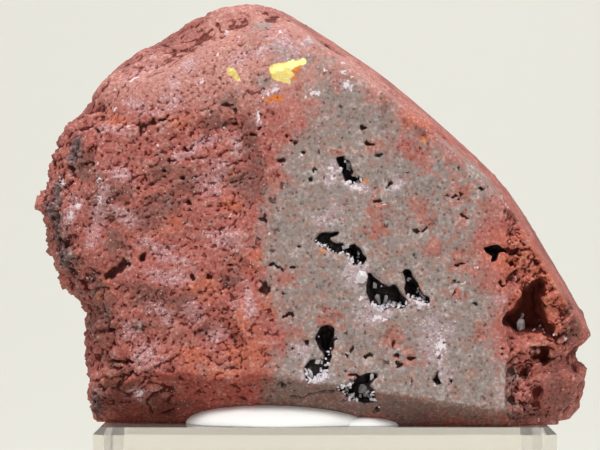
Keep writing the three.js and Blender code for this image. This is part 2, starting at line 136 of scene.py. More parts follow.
# Open hollows of the front: depth in millimetres, and outline by the photo's pixels
HOLLOWS = {
    "upper": (1.3, [
        (336, 157), (344.5, 154.5), (346, 160), (351, 163), (352.5, 175), (360, 175.5), (363.5, 179),
        (360, 182.5), (352, 183.5), (346, 182), (343, 178), (339, 166)]),
    "olive": (0.55, [
        (315, 237), (319, 233), (330, 231), (340, 232), (339, 236), (329, 237), (330, 241), (342, 244),
        (348, 247), (347, 255), (337, 252), (328, 252), (319, 246), (315, 241)]),
    "deep": (2.0, [
        (347, 247), (353, 244.5), (359, 248), (363, 252), (366, 258), (364, 264), (359, 266), (352, 262),
        (348, 257)]),
    "middle": (1.5, [
        (367.5, 272), (372, 273.5), (377, 279), (383, 284), (389, 285), (394, 283), (399, 288), (404, 295),
        (408, 304), (405, 309), (398, 307), (392, 309), (385, 311), (376, 310), (371, 303), (367, 294),
        (366.5, 284)]),
    "right": (1.5, [
        (402, 272), (407, 269), (411, 270), (413, 277), (418, 281), (421, 287), (425, 294), (430, 296),
        (430, 303), (426, 305), (419, 301), (411, 300), (406, 294), (405, 285), (403, 278)]),
    "lower": (1.4, [
        (320, 328), (328, 325), (334, 328), (334, 338), (334.5, 350), (330.5, 358), (329, 366), (324, 369),
        (322, 366), (324, 360), (323, 356), (319, 349), (316, 338)]),
    "nest": (0.6, [
        (304, 366), (310, 360), (318, 358), (324, 360), (329, 366), (327, 376), (320, 384), (309, 383),
        (303, 376)]),
    "bottom": (2.0, [
        (333, 391), (346, 383), (358, 378), (368, 374), (376, 373), (378, 377), (371, 384), (376, 391),
        (378, 399), (381, 405), (370, 406), (363, 408), (355, 404), (344, 398)]),
    "crescent": (0.5, [
        (433, 380), (435, 372), (440, 370), (437.5, 376.6), (441, 384), (436, 386)]),
    "cavity": (3.0, [
        (541, 277), (550, 282), (546, 289), (545, 297), (547, 308), (551, 320), (556, 330), (560, 345),
        (554, 344), (543, 336), (529, 337), (520, 337), (514, 334), (508, 329), (502, 322), (502, 317),
        (508, 311), (515, 307), (520, 298), (523, 288), (530, 284), (537, 279)]),
    "under_cavity": (1.6, [
        (534, 357), (541, 354), (549, 352), (552, 357), (562, 361), (553, 364), (546, 368), (538, 363)]),
    "left_of_block": (1.2, [
        (521, 370), (528, 365), (535, 367), (533, 374), (529, 384), (523, 379)]),
    "crevice": (1.1, [
        (484, 246), (494, 245), (503, 249), (510, 247), (516, 246), (525, 253), (535, 259), (528, 261),
        (518, 257), (509, 251), (500, 255), (497, 262), (490, 264), (493, 257), (485, 252)]),
    "short_crevice": (0.7, [
        (509, 267), (513, 265), (518, 268), (514, 270)]),
    "recess": (0.9, [
        (531, 386), (545, 385), (545, 400), (541, 410), (534, 410)]),
}
HOLLOW_NARROWING = 0.22

# Native copper on the face: outlines by the photo's pixels
COPPER = [
    [(268, 68), (280, 63), (303, 58), (307, 62), (293, 68), (291, 71), (294, 75), (290, 78), (290, 84),
     (284, 83), (275, 80), (270, 75)],
    [(226, 70), (229, 66), (234, 67), (238, 73), (241, 81), (236, 80), (228, 74)],
]

# The photo's pixel, in millimetres of the polished face
PIXEL = 0.06885

# Marks of the surface, by the photo's pixels: x, y and half width, then the half height where it
# differs and the turn in degrees. Pits, chunky and calm places shape the relief, and pits are also
# painted dark with shade; the others are colours.
MARKS = {
    "lilac": [
        (284, 44, 24, 12, -30), (262, 50, 14, 7, 15), (306, 43, 9, 7), (137, 106, 18, 8, -25),
        (168, 101, 18, 10), (173, 83, 9, 12), (187, 64, 9, 8, 20), (150, 52, 34, 11, 32),
        (112, 128, 24, 6, -8), (218, 169, 16, 11, 20), (209, 182, 14, 18), (119, 174, 14, 10),
        (104, 191, 9, 14, 10), (96, 215, 10, 22), (72, 206, 9, 14), (62, 222, 10, 12), (90, 236, 8, 16),
        (161, 252, 30, 10, -20), (225, 240, 20, 12), (168, 278, 26, 10, -10), (146, 357, 16, 18),
        (129, 331, 12, 10), (216, 335, 12), (193, 313, 15, 12, -30), (162, 314, 18, 8, -30),
        (235, 60, 16, 8, 30), (205, 140, 22, 6, 20), (182, 155, 18, 6, 25), (355, 187, 15, 6, -15),
        (335, 206, 7, 16, -20), (328, 222, 18, 8), (332, 172, 8, 15, -15), (358, 268, 16, 8, -20),
        (352, 280, 7, 13, 30), (438, 326, 16, 20), (499, 301, 12, 5, 25), (446, 374, 10, 9),
        (249, 303, 7, 22, 10), (312, 376, 18, 13), (236, 147, 6, 16, 10), (258, 120, 4, 13, 10),
        (271, 90, 16, 5, 30), (345, 84, 8), (372, 314, 22, 12), (418, 300, 12), (300, 350, 12, 9),
        (135, 395, 12, 8), (120, 214, 22, 8, -30), (435, 340, 16, 26), (395, 184, 8, 12),
        (350, 400, 14, 6), (540, 160, 8, 4)],
    "grey": [
        (264, 25, 12, 8), (282, 51, 12, 9), (261, 77, 7), (322, 66, 22, 14), (382, 104, 12, 22),
        (412, 124, 10, 7), (427, 139, 12, 6), (474, 171, 12, 8, -40), (489, 187, 10, 7, -40),
        (449, 135, 12, 3, -42), (466, 152, 16, 4, -45), (486, 172, 12, 4, -45), (440, 223, 14, 12),
        (433, 176, 8, 14), (479, 289, 14, 7), (497, 298, 9, 6), (455, 210, 8, 12), (470, 232, 10, 6),
        (130, 66, 12, 4, -25), (178, 45, 14, 7, 20), (300, 60, 22, 14, 30), (335, 80, 22, 12, 35),
        (355, 92, 16, 10, 30)],
    "stain": [
        (408, 116, 20, 14, -20), (395, 92, 14, 12, -40), (425, 162, 10, 14), (453, 158, 18, 14),
        (461, 193, 20, 16), (423, 212, 12, 22), (490, 208, 18, 16), (461, 225, 12), (428, 244, 12, 15),
        (440, 250, 12, 10), (462, 253, 18, 12), (470, 267, 28, 14, -20), (489, 283, 14, 9),
        (456, 293, 10, 8), (484, 337, 12, 14), (500, 330, 12, 16), (372, 96, 16, 10), (335, 80, 14, 10),
        (281, 179, 16, 10), (374, 232, 14, 14, 20), (275, 190, 10), (393, 342, 16), (411, 361, 14, 12),
        (409, 179, 5), (350, 374, 8, 6), (286, 280, 14, 12), (376, 146, 12, 8, -20), (338, 152, 8, 6),
        (500, 262, 24), (300, 330, 12, 14), (378, 210, 12, 20), (330, 320, 16, 14)],
    "warm": [
        (245, 355, 26, 24), (193, 357, 20, 12, -20), (215, 372, 30, 8), (272, 300, 14, 20),
        (258, 262, 12, 14), (232, 205, 14, 12), (225, 36, 22, 12), (110, 120, 22, 12, -25),
        (461, 193, 13, 12), (515, 255, 34, 26, 20), (545, 300, 40, 60), (470, 262, 18, 10, -15),
        (170, 222, 20, 12, 20), (102, 290, 12, 16, 20), (112, 378, 12), (420, 118, 18, 16),
        (200, 290, 24, 12, 10), (245, 325, 20, 14), (185, 120, 20, 8)],
    "brown": [
        (95, 315, 24, 60, 5), (115, 400, 26, 34), (160, 410, 34, 18), (100, 205, 18, 24, -10),
        (82, 165, 14, 20), (560, 395, 30), (578, 320, 12, 40, -10), (540, 415, 34, 18), (240, 180, 18, 12),
        (150, 300, 36, 16, -20), (230, 100, 18, 12), (130, 215, 34, 9, 25), (186, 182, 18),
        (115, 240, 16, 20), (250, 130, 14, 30), (255, 180, 16, 30), (230, 280, 16, 10), (140, 330, 16, 10),
        (205, 330, 14, 10), (150, 212, 52, 17, 25), (105, 195, 28), (386, 108, 11, 24, -10),
        (420, 130, 14, 6, -35), (185, 300, 30, 10, 20), (160, 170, 22, 14, 20), (215, 120, 24, 12)],
    "dark_edge": [
        (48, 225, 12, 44, 8), (58, 255, 13, 34, 20), (70, 290, 10, 30, 15), (80, 330, 8, 40),
        (70, 145, 9, 24, -5), (92, 410, 10, 20), (52, 190, 6, 26), (178, 33, 16, 5, 22)],
    "chunky": [
        (88, 330, 22, 60, 5), (105, 395, 28, 40), (145, 402, 30, 24), (60, 250, 16, 50, 15),
        (62, 170, 16, 40), (80, 145, 14, 20, -5)],
    "pit": [
        (95, 130, 6, 3, -10), (142, 127, 5, 9, -25), (150, 120, 5, 4), (227, 105, 4, 3), (234, 111, 3),
        (163, 118, 6, 2, 25), (235, 122, 3, 2), (165, 171, 2), (182, 180, 3, 2), (187, 202, 4, 2),
        (138, 188, 4, 2, -20), (191, 277, 2), (209, 279, 3, 2), (234, 266, 3, 2), (84, 163, 7, 3, 10),
        (118, 266, 11, 6, 28), (108, 276, 6, 4, 20), (143, 257, 4, 2, 30), (186, 148, 4, 2, 25),
        (171, 160, 4, 2, 20), (220, 30, 4, 3), (106, 332, 6, 3, 20), (128, 362, 6, 4), (107, 365, 5, 4),
        (280, 160, 7, 2.5, 8), (303, 153, 4, 2), (253, 136, 6, 3), (258, 127, 2, 4), (266, 221, 4, 5, -20),
        (264, 288, 5, 9, 12), (287, 137, 3, 2), (293, 141, 3, 2), (363, 125, 2, 3), (370, 145, 5, 3, -10),
        (378, 157, 4, 2), (378, 201, 2), (313, 170, 2), (313, 178, 2), (300, 245, 4, 1.5, -20),
        (275, 267, 7, 2, -15), (292, 265, 5, 2), (388, 182, 3), (308, 344, 3, 2), (294, 348, 2),
        (337, 341, 2), (345, 357, 2), (354, 348, 2, 3), (368, 356, 3, 2), (393, 345, 3, 5),
        (396, 357, 4, 3), (400, 365, 5, 2, 10), (411, 359, 6, 3), (345, 373, 3, 2, 20), (449, 379, 2),
        (443, 342, 2), (437, 357, 2, 2.5), (449, 194, 1.5), (454, 196, 1.5), (458, 192, 1.5),
        (462, 196, 1.5), (458, 201, 1.5), (482, 189, 3, 1.5), (509, 202, 4, 5), (514, 214, 5, 4),
        (505, 212, 3), (464, 216, 2, 3), (421, 231, 5, 2, 10), (460, 264, 7, 2, -8), (458, 280, 4, 1.5),
        (476, 305, 5, 2, -8), (503, 352, 2, 3), (500, 284, 3, 2), (526, 243, 3, 2), (285, 295, 3, 2),
        (282, 387, 6, 3), (391, 302, 3, 2), (287, 315, 5, 2), (546, 354, 14, 4), (486, 188, 2, 1.5),
        (352, 377, 6, 2), (376, 411, 8, 2, 15), (345, 402, 6, 2), (538, 262, 5, 2, -20),
        (500, 248, 9, 2, -25), (512, 252, 8, 3, 20)],
    "white": [
        (225, 28, 3), (238, 34, 2, 1.5), (112, 87, 2, 3, 40), (111, 108, 2), (127, 125, 2), (157, 146, 2),
        (223, 127, 2.5), (230, 215, 2.5), (266, 235, 2), (279, 31, 3, 2, 10), (302, 43, 3, 2),
        (309, 41, 2), (325, 71, 2), (342, 63, 4, 3), (345, 73, 3), (352, 77, 2), (345, 85, 3, 5),
        (350, 87, 2, 6, 10), (95, 163, 3, 2), (96, 179, 3, 2, 10), (67, 215, 4, 6), (218, 51, 6, 2, 45),
        (199, 82, 7, 2, 35), (130, 77, 8, 2, 22), (306, 97, 3), (315, 94, 5, 3, 20), (274, 90, 6, 2, 30),
        (267, 94, 7, 1.5, 40), (258, 118, 1.5, 6), (300, 157, 3, 2), (436, 382, 2, 4), (331, 169, 4, 3),
        (332, 178, 4), (346, 184, 6, 2), (357, 188, 6, 2), (382, 204, 1.5), (361, 279, 6, 4.5, 25),
        (361, 299, 3), (346, 246, 6, 3), (363, 399, 6, 2), (85, 280, 3, 2), (138, 396, 5, 3),
        (570, 343, 6, 2, 10), (473, 166, 2, 3, 50), (478, 268, 2), (465, 283, 2, 1.5), (420, 304, 8, 5),
        (378, 318, 10, 3), (292, 352, 2, 1.5), (314, 376, 8, 8, 20), (75, 205, 4, 5), (57, 181, 4, 6, 30),
        (98, 199, 3, 6), (440, 345, 6, 14), (515, 278, 3, 1.5), (509, 204, 6, 5)],
    "orange": [
        (276, 98, 12, 4, 14), (424, 139, 2.5, 5), (365, 181, 3, 4), (296, 70, 7, 2.5, 25),
        (294, 77, 2.5, 5), (222, 21, 9, 1.2, 12), (419, 291, 3, 4), (232, 174, 2, 3), (324, 250, 6, 3),
        (322, 240, 6, 3), (334, 246, 4, 2, 30)],
    "calm": [
        (498, 325, 16, 34), (533, 345, 26, 9, -12), (518, 300, 10, 16, 40), (558, 372, 26, 10, 10),
        (556, 395, 22, 18), (530, 320, 24)],
}

# Visible cracks, as lines through the photo's pixels
CRACKS = [
    [(73, 128), (70, 148), (66, 165)], [(333, 391), (310, 396), (293, 399)],
    [(60, 170), (56, 190), (52, 214)], [(60, 262), (68, 275), (76, 300)],
    [(150, 420), (145, 405), (160, 398)], [(110, 378), (135, 374), (150, 376)],
]

# The grey rock of the polished face: its outline as x and height, and how far its edge reaches
GREY_EDGE = 3.5
GREY_REGION = [
    (-4.4, -0.04), (-4.4, 1.89), (-4.1, 3.41), (-3.5, 4.6), (-2.9, 5.9), (-3.2, 7.4),
    (-3.4, 8.78), (-4.2, 10.15), (-4.7, 11.53), (-4.3, 13.25), (-4.6, 14.63), (-4.3, 16.01),
    (-3.1, 17.38), (-3.2, 19.1), (-1.9, 20.48), (-0.62, 22), (-1.72, 23.1), (-0.89, 23.65),
    (1.38, 24.47), (3.24, 23.44), (5.17, 21.86), (4.82, 19.1), (7.23, 18.97), (8.95, 19.93),
    (10.68, 18.42), (12.53, 16.35), (12.05, 14.63), (10.68, 12.91), (11.36, 10.84), (12.05, 8.78),
    (11.92, 6.71), (12.26, 5.2), (12.88, 3.82), (12.88, -0.04),
]
# Larger crystals: the photo's pixels, width, length, tint from dark to white, and lean to the right.
# The whitest tints are partly painted glints of crystal faces.
NAMED_CRYSTALS = {
    "vug_crystals_upper": [
        (333, 170, 0.25, 0.3, 1, 0), (340, 171, 0.25, 0.3, 1, 20), (346, 183, 0.3, 0.45, 1, 70)],
    "vug_crystals_olive": [(344, 247, 0.35, 0.4, 0.7, 60), (325, 248, 0.3, 0.3, 0.5, 0)],
    "vug_crystals_middle": [
        (361, 279, 0.75, 0.6, 1, 30), (379, 302, 0.35, 0.6, 0.85, -10), (386, 302, 0.3, 0.55, 0.9, 12),
        (375, 309, 0.3, 0.4, 0.7, 0), (375, 286, 0.35, 0.4, 0.5, 0), (390, 306, 0.25, 0.4, 0.75, 30)],
    "vug_crystals_right": [(409, 281, 0.2, 0.25, 0.95, 0), (420, 306, 0.35, 0.35, 0.8, 10)],
    "vug_crystals_lower": [
        (318, 362, 0.45, 0.4, 0.5, 20), (312, 377, 0.25, 0.5, 0.95, -15), (318, 380, 0.2, 0.5, 0.9, 5),
        (323, 374, 0.2, 0.4, 0.85, 20), (307, 372, 0.2, 0.45, 0.9, -30)],
    "vug_crystals_bottom": [
        (372, 379, 0.35, 0.5, 1, 0), (362, 392, 0.55, 0.5, 0.45, 30), (350, 400, 0.2, 0.3, 0.8, 0)],
    "cavity_crystals": [(525, 331, 0.6, 0.9, 1, -8), (527, 321, 0.25, 0.35, 0.7, 20)],
}

# Each crust of crystals: its hollows, the number and the widths of its crystals, and the share of
# pale ones
CRUSTS = {
    "vug_crystals_upper": (["upper"], 40, (0.07, 0.16), 0.15),
    "vug_crystals_olive": (["olive", "deep"], 45, (0.07, 0.18), 0.1),
    "vug_crystals_middle": (["middle"], 70, (0.08, 0.24), 0.2),
    "vug_crystals_right": (["right"], 45, (0.07, 0.18), 0.1),
    "vug_crystals_lower": (["lower", "nest"], 80, (0.08, 0.24), 0.4),
    "vug_crystals_bottom": (["bottom"], 60, (0.08, 0.24), 0.1),
    "cavity_crystals": (["cavity"], 12, (0.1, 0.2), 0.3),
}
OLIVE_TINT = {"vug_crystals_olive": 0.7}

# Fine relief of the broken rock. Tilted flakes rise to the right: their sizes along x, y and the
# slant, their seed, and how deep the cracks between them are. Blocks have gaps between them.
SLANT = 0.35
FLAKES = {
    "coarse": ((1.9, 1.7, 1.2), 61, 0.5),
    "middle": ((0.9, 0.8, 0.55), 65, 0.5),
    "small": ((0.48, 0.38, 0.27), 69, 0.9),
}
BLOCK_SIZES = (1.7, 1.7, 1.3)
BLOCK_GAP = 0.45
PIT_DEPTH = 0.38
CRACK_HALF_WIDTH = 0.13

# The marks of the face fade out between these depths behind it
MARKS_FADE = (3.2, 8)
PITS_FADE = (FACE_DEPTH + 3, FACE_DEPTH + 5)

# Tones of each kind of rock, from 0 to 255: its shaded, its usual and its bright grains
ROCKS = {
    "red": ((98, 36, 30), (182, 104, 95), (224, 158, 147)),
    "warm": ((104, 36, 26), (200, 110, 88), (240, 160, 134)),
    "brown": ((74, 32, 27), (140, 86, 78), (178, 124, 114)),
    # pale: painted light on the top, which faces up towards the lamps
    "pale": ((142, 80, 72), (212, 156, 146), (246, 204, 194)),
    "dark": ((38, 26, 26), (98, 72, 70), (170, 146, 148)),
    "grey": ((86, 66, 62), (155, 141, 136), (210, 196, 194)),
    "pink": ((96, 60, 54), (166, 130, 120), (216, 182, 174)),
    "deep grey": ((70, 56, 54), (132, 116, 110), (172, 158, 152)),
    "stain": ((96, 42, 36), (178, 108, 96), (222, 158, 144)),
    "haze on red": ((122, 66, 68), (202, 152, 154), (250, 228, 236)),
    "haze on grey": ((112, 86, 92), (192, 168, 174), (246, 234, 244)),
    "orange": ((150, 74, 34), (224, 128, 66), (246, 176, 110)),
    # Hollow walls: dark minerals with painted shade
    "lining_and_shade": ((14, 9, 11), (42, 32, 35), (124, 106, 112)),
    "red lining": ((66, 20, 16), (112, 48, 38), (170, 92, 74)),
    "copper": ((230, 176, 92), (252, 230, 140), (255, 252, 226)),
}

# The pale sweep in metres: half its width, where it begins, its wall, its curve and its top
STAGE_HALF, STAGE_FRONT, STAGE_BACK, STAGE_RADIUS, STAGE_TOP = 1.2, -0.8, 0.65, 0.5, 1.3
STAGE_STEPS = 24

# Soft lights: place and size in metres, and power in watts
LIGHTS = {
    "key": ((-0.07, -0.29, 0.55), 0.2, 2.4),
    "fill": ((0.3, -0.6, 0.2), 0.6, 0.5),
    "back": ((0.05, 0.42, 0.62), 0.4, 2.2),
}
LIGHT_AIM = Vector((0, 0, 0.025))
WORLD_LIGHT = 0.4


def lattice_value(i, j, k, seed):
    """Repeatable number between 0 and 1 for points of the whole-number lattice"""
    bits = i.astype(np.uint32) * np.uint32(73856093)
    bits ^= j.astype(np.uint32) * np.uint32(19349663)
    bits ^= k.astype(np.uint32) * np.uint32(83492791)
    bits = (bits ^ np.uint32(seed * 2654435761 % 2 ** 32)) * np.uint32(2246822519)
    bits = (bits ^ (bits >> np.uint32(15))) * np.uint32(3266489917)
    return (bits ^ (bits >> np.uint32(13))).astype(np.float32) / np.float32(2 ** 32 - 1)


def noise(x, y, z, size, seed):
    """Smooth noise between -1 and 1, with lumps of one size or of three along the axes"""
    sizes = size if isinstance(size, tuple) else (size,) * 3
    x, y, z = np.broadcast_arrays(*[v / s for v, s in zip((x, y, z), sizes)])
    corner = [np.floor(v).astype(np.int32) for v in (x, y, z)]
    part = [(v - c).astype(np.float32) for v, c in zip((x, y, z), corner)]
    part = [t * t * (3 - 2 * t) for t in part]
    total = np.zeros(x.shape, np.float32)
    for step in range(8):
        side = (step & 1, (step >> 1) & 1, step >> 2)
        share = np.ones(x.shape, np.float32)
        for s, t in zip(side, part):
            share *= t if s else 1 - t
        total += share * lattice_value(*[c + s for c, s in zip(corner, side)], seed)
    return 2 * total - 1


def swayed(x, y, z, reach, size, seed):
    """x and z moved about by smooth noise"""
    return x + reach * noise(x, y, z, size, seed), z + reach * noise(x, y, z, size, seed + 1)


def smooth_max(a, b, radius):
    near = np.maximum(radius - np.abs(a - b), 0) / radius
    return np.maximum(a, b) + radius * near * near / 4


def smooth_step(low, high, value):
    t = np.clip((value - low) / (high - low), 0, 1)
    return t * t * (3 - 2 * t)


def line_distance(start, end, x, z):
    """Distance to a straight line between two points"""
    (ax, az), (bx, bz) = start, end
    dx, dz = bx - ax, bz - az
    t = np.clip(((x - ax) * dx + (z - az) * dz) / (dx * dx + dz * dz), 0, 1)
    return np.hypot(x - ax - t * dx, z - az - t * dz)


def outline_distance(outline, x, z):
    """Distance to a closed outline, negative inside it"""
    nearest = np.full(np.broadcast(x, z).shape, np.inf)
    inside = np.zeros(nearest.shape, bool)
    for (ax, az), (bx, bz) in zip(outline, outline[1:] + outline[:1]):
        nearest = np.minimum(nearest, line_distance((ax, az), (bx, bz), x, z))
        if az != bz:
            inside ^= ((az > z) != (bz > z)) & (x < ax + (z - az) / (bz - az) * (bx - ax))
    return np.where(inside, -nearest, nearest).astype(np.float32)


def nearest_outline(outlines, x, z):
    return np.minimum.reduce([outline_distance(outline, x, z) for outline in outlines])


class DistanceMap:
    """The stone's outline distance, read from a fine map of it"""

    STEP = 0.1
    LOW = (-26.0, -8.0)
    COUNT = (520, 440)

    def __init__(self, outline):
        x = self.LOW[0] + self.STEP * np.arange(self.COUNT[0])[:, None]
        z = self.LOW[1] + self.STEP * np.arange(self.COUNT[1])[None, :]
        self.values = outline_distance(outline, x, z)

    def at(self, x, z):
        u = np.clip((x - self.LOW[0]) / self.STEP, 0, self.COUNT[0] - 1.001)
        v = np.clip((z - self.LOW[1]) / self.STEP, 0, self.COUNT[1] - 1.001)
        i, j = u.astype(np.int32), v.astype(np.int32)
        s, t = (u - i).astype(np.float32), (v - j).astype(np.float32)
        low = self.values[i, j] * (1 - s) + self.values[i + 1, j] * s
        high = self.values[i, j + 1] * (1 - s) + self.values[i + 1, j + 1] * s
        return low * (1 - t) + high * t


def seen_at(px, py):
    """Place on the polished face of a pixel of the 600 x 450 photo"""
    return VIEW_X + (px - 300) * PIXEL, VIEW_HEIGHT + (225 - py) * PIXEL


def traced(pixels):
    """An outline in hundredths of a millimetre from the photo's pixels"""
    return [tuple(round(v, 2) for v in seen_at(px, py)) for px, py in pixels]


STONE_OUTLINE = DistanceMap(OUTLINE)
HOLLOW_OUTLINES = {name: traced(pixels) for name, (deep, pixels) in HOLLOWS.items()}
COPPER_OUTLINES = [traced(pixels) for pixels in COPPER]


def set_back(x, z):
    """Depth of the natural front behind the polished face"""
    left_x = x + LEFT_STEP["wander"] * noise(0 * z, z, 0 * z, 2.6, 41)
    right_x = x + RIGHT_STEP["wander"] * noise(0 * z, z, 0 * z, 1.9, 43)
    left = 1 - smooth_step(LEFT_STEP["from"], LEFT_STEP["to"], left_x)
    above = smooth_step(*RIGHT_FALL["above"], z)
    step = (1 - above) * smooth_step(RIGHT_STEP["from"], RIGHT_STEP["to"], right_x)
    fall = above * smooth_step(RIGHT_FALL["from"], RIGHT_FALL["to"], right_x)
    curl = LEFT_STEP["curl"] * (np.maximum(LEFT_STEP["to"] - x, 0) / (LEFT_STEP["to"] - LEFT_EDGE)) ** 2
    top = np.maximum(z - TOP_CURVE["from"], 0) / (STONE_HEIGHT - TOP_CURVE["from"])
    slope = RIGHT_FALL["slope"] * np.maximum(x - RIGHT_STEP["from"], 0)
    return (-PROUD_MIDDLE + left * (PROUD_MIDDLE + LEFT_STEP["depth"]) + curl
            + step * (PROUD_MIDDLE + RIGHT_STEP["depth"]) + fall * (PROUD_MIDDLE + RIGHT_FALL["depth"])
            + slope + TOP_CURVE["depth"] * top * top)


def regions(x, y, z):
    """Share of each region at a point: side and back, right front, left front, top"""
    side = smooth_step(FACE_DEPTH + 1, FACE_DEPTH + 5, y)
    right = smooth_step(RIGHT_STEP["from"], RIGHT_STEP["to"], x)
    left = 1 - smooth_step(LEFT_STEP["from"], LEFT_STEP["to"], x)
    top = smooth_step(TOP_CURVE["from"], TOP_CURVE["from"] + 4, z)
    return side, right, left, top


def ledges(x, y, z):
    wander = LEDGE["wander"] * noise(x, y, z, 6, 53)
    level = (z - LEDGE["rise"] * x + wander) / LEDGE["spacing"]
    part = level - np.floor(level)
    top = 1 - LEDGE["riser"]
    out = np.where(part < top, part / top, (1 - part) / LEDGE["riser"])
    return LEDGE["depth"] * (0.5 - out)


def natural_stone(x, y, z):
    """The unsawn stone as a field: negative inside, zero on the surface"""
    away = smooth_step(0, 6, np.abs(y - WIDEST_DEPTH))
    sawn = smooth_step(*SAWN_HALF, x)
    front_taper = SIDE_TAPER + (SAWN_SIDE_TAPER - SIDE_TAPER) * sawn
    taper = np.where(y < WIDEST_DEPTH, front_taper, SIDE_TAPER)
    side = STONE_OUTLINE.at(*swayed(x, y, z, SIDE_SWAY * away, (6, 3, 6), 5))
    side = side + taper * (y - WIDEST_DEPTH) ** 2
    front = FACE_DEPTH + set_back(x, z) - y
    rounding = LEFT_ROUNDING + (RIGHT_ROUNDING - LEFT_ROUNDING) * sawn
    body = smooth_max(side, front, rounding)
    body = smooth_max(body, y - BACK_DEPTH, BACK_ROUNDING)
    for (px, py, pz), (nx, ny, nz) in BREAKS:
        body = smooth_max(body, (x - px) * nx + (y - py) * ny + (z - pz) * nz, BREAK_ROUNDING)
    behind, right, left, top = regions(x, y, z)
    roughness = np.maximum.reduce([0.2 + 0 * x, behind, right, 0.4 * left * (1 - 0.7 * top)])
    height = ledges(x, y, z) + LUMP_SINK
    for spacing, tall, seed in LUMPS:
        height = height + tall * noise(x, y, z, spacing, seed)
    return body + away * roughness * height


def plane_distance(point, faces, x, y, z):
    n = Vector(faces).normalized()
    return (x - point[0]) * n.x + (y - point[1]) * n.y + (z - point[2]) * n.z


def bevel_plane():
    left = Vector((BEVEL_LEFT[0], FACE_DEPTH, BEVEL_LEFT[1]))
    right = Vector((BEVEL_RIGHT[0], FACE_DEPTH, BEVEL_RIGHT[1]))
    foot = Vector((BEVEL_LEFT[0], BEVEL_FOOT_DEPTH, 0))
    faces = (right - left).cross(foot - left)
    return left, faces if faces.y < 0 else -faces


def side_cuts(x, y, z):
    cuts = None
    for (ax, az), (bx, bz) in SIDE_CUTS:
        length = math.hypot(bx - ax, bz - az)
        faces = ((az - bz) / length, -SIDE_CUT_OPENING, (bx - ax) / length)
        cut = plane_distance((ax, WIDEST_DEPTH, az), faces, x, y, z)
        cuts = cut if cuts is None else smooth_max(cuts, cut, 0.9)
    return cuts


def sawn_cuts(x, y, z):
    """The polished cuts as one field"""
    cuts = smooth_max(FACE_DEPTH - y, side_cuts(x, y, z), 0.35)
    return smooth_max(cuts, plane_distance(*bevel_plane(), x, y, z), 0.3)


def form_field(x, y, z):
    """The stone without its hollows: negative inside"""
    return np.maximum.reduce([natural_stone(x, y, z), sawn_cuts(x, y, z), -z])


class Grid:
    """A box of points around the stone, with the field on them"""

    def __init__(self, step):
        low = (LEFT_EDGE - 1.2, FACE_DEPTH - 0.8, -0.6)
        high = (RIGHT_EDGE + 1.2, BACK_DEPTH + 1.2, STONE_HEIGHT + 1.2)
        self.step = step
        self.axes = [np.arange(a, b, step, dtype=np.float32) for a, b in zip(low, high)]
        self.field = self.natural_field()
        x, y, z = np.meshgrid(*self.axes, indexing="ij", sparse=True)
        np.maximum(self.field, sawn_cuts(x, y, z), out=self.field)
        np.maximum(self.field, -z, out=self.field)

    def natural_field(self):
        """The unsawn form, worked out on every third point and spread to the points between"""
        skip = 3
        field = natural_stone(*np.meshgrid(*[axis[::skip] for axis in self.axes], indexing="ij"))
        for axis in range(3):
            field = self.spread(field, axis, len(self.axes[axis]), skip)
        return field

    @staticmethod
    def spread(field, axis, count, skip):
        place = np.minimum(np.arange(count) / skip, field.shape[axis] - 1)
        low = np.floor(place).astype(int)
        high = np.minimum(low + 1, field.shape[axis] - 1)
        shape = [1, 1, 1]
        shape[axis] = count
        share = (place - low).astype(np.float32).reshape(shape)
        return np.take(field, low, axis) * (1 - share) + np.take(field, high, axis) * share

    def window(self, low, high):
        """Slices of the grid inside a box, and the points there"""
        cut = []
        for axis, a, b in zip(self.axes, low, high):
            first, last = np.searchsorted(axis, (a, b))
            cut.append(slice(max(first, 0), min(last, len(axis))))
        points = np.meshgrid(*[axis[c] for axis, c in zip(self.axes, cut)], indexing="ij")
        return tuple(cut), points

    def front_depth(self, x, z):
        """Depth of the first solid point behind x and z, seen from the front"""
        i = int(np.searchsorted(self.axes[0], x))
        k = int(np.searchsorted(self.axes[2], z))
        return float(self.axes[1][np.argmax(self.field[i, :, k] < 0)])

    def carve(self, shape, low, high):
        """Takes a shape, negative inside, out of the stone"""
        cut, (x, y, z) = self.window(low, high)
        self.field[cut] = np.maximum(self.field[cut], -shape(x, y, z))


def carve_hollow(grid, outline, deep):
    xs, zs = [p[0] for p in outline], [p[1] for p in outline]
    middle = (sum(xs) / len(xs), sum(zs) / len(zs))
    front = grid.front_depth(*middle)

    def shape(x, y, z):
        wall = outline_distance(outline, *swayed(x, y, z, 0.16, 0.4, 81))
        wall = wall + HOLLOW_NARROWING * np.maximum(y - front, 0)
        floor = y - front - deep + 0.3 * noise(x, y, z, 0.8, 83)
        return smooth_max(wall, floor, 0.4)

    margin = 0.4
    low = (min(xs) - margin, FACE_DEPTH - 1, min(zs) - margin)
    high = (max(xs) + margin, front + deep + 1, max(zs) + margin)
    grid.carve(shape, low, high)


def carve_putty_bed(grid):
    """The stone's underside takes the shape of the putty that it is pressed into"""
    for wad in (PUTTY, PUTTY_LOBE):
        def shape(x, y, z, wad=wad):
            u = (x - wad["x"]) / (wad["wide"] / 2)
            v = (y - wad["y"]) / (wad["long"] / 2)
            w = z / wad["tall"]
            return (np.sqrt(u * u + v * v + w * w) - 1) * wad["tall"]

        low = (wad["x"] - wad["wide"], wad["y"] - wad["long"], -1)
        high = (wad["x"] + wad["wide"], wad["y"] + wad["long"], wad["tall"] + 1)
        grid.carve(shape, low, high)


CUBE_EDGES = [
    (a, b) for a in range(8) for b in range(a + 1, 8)
    if bin(a ^ b).count("1") == 1
]


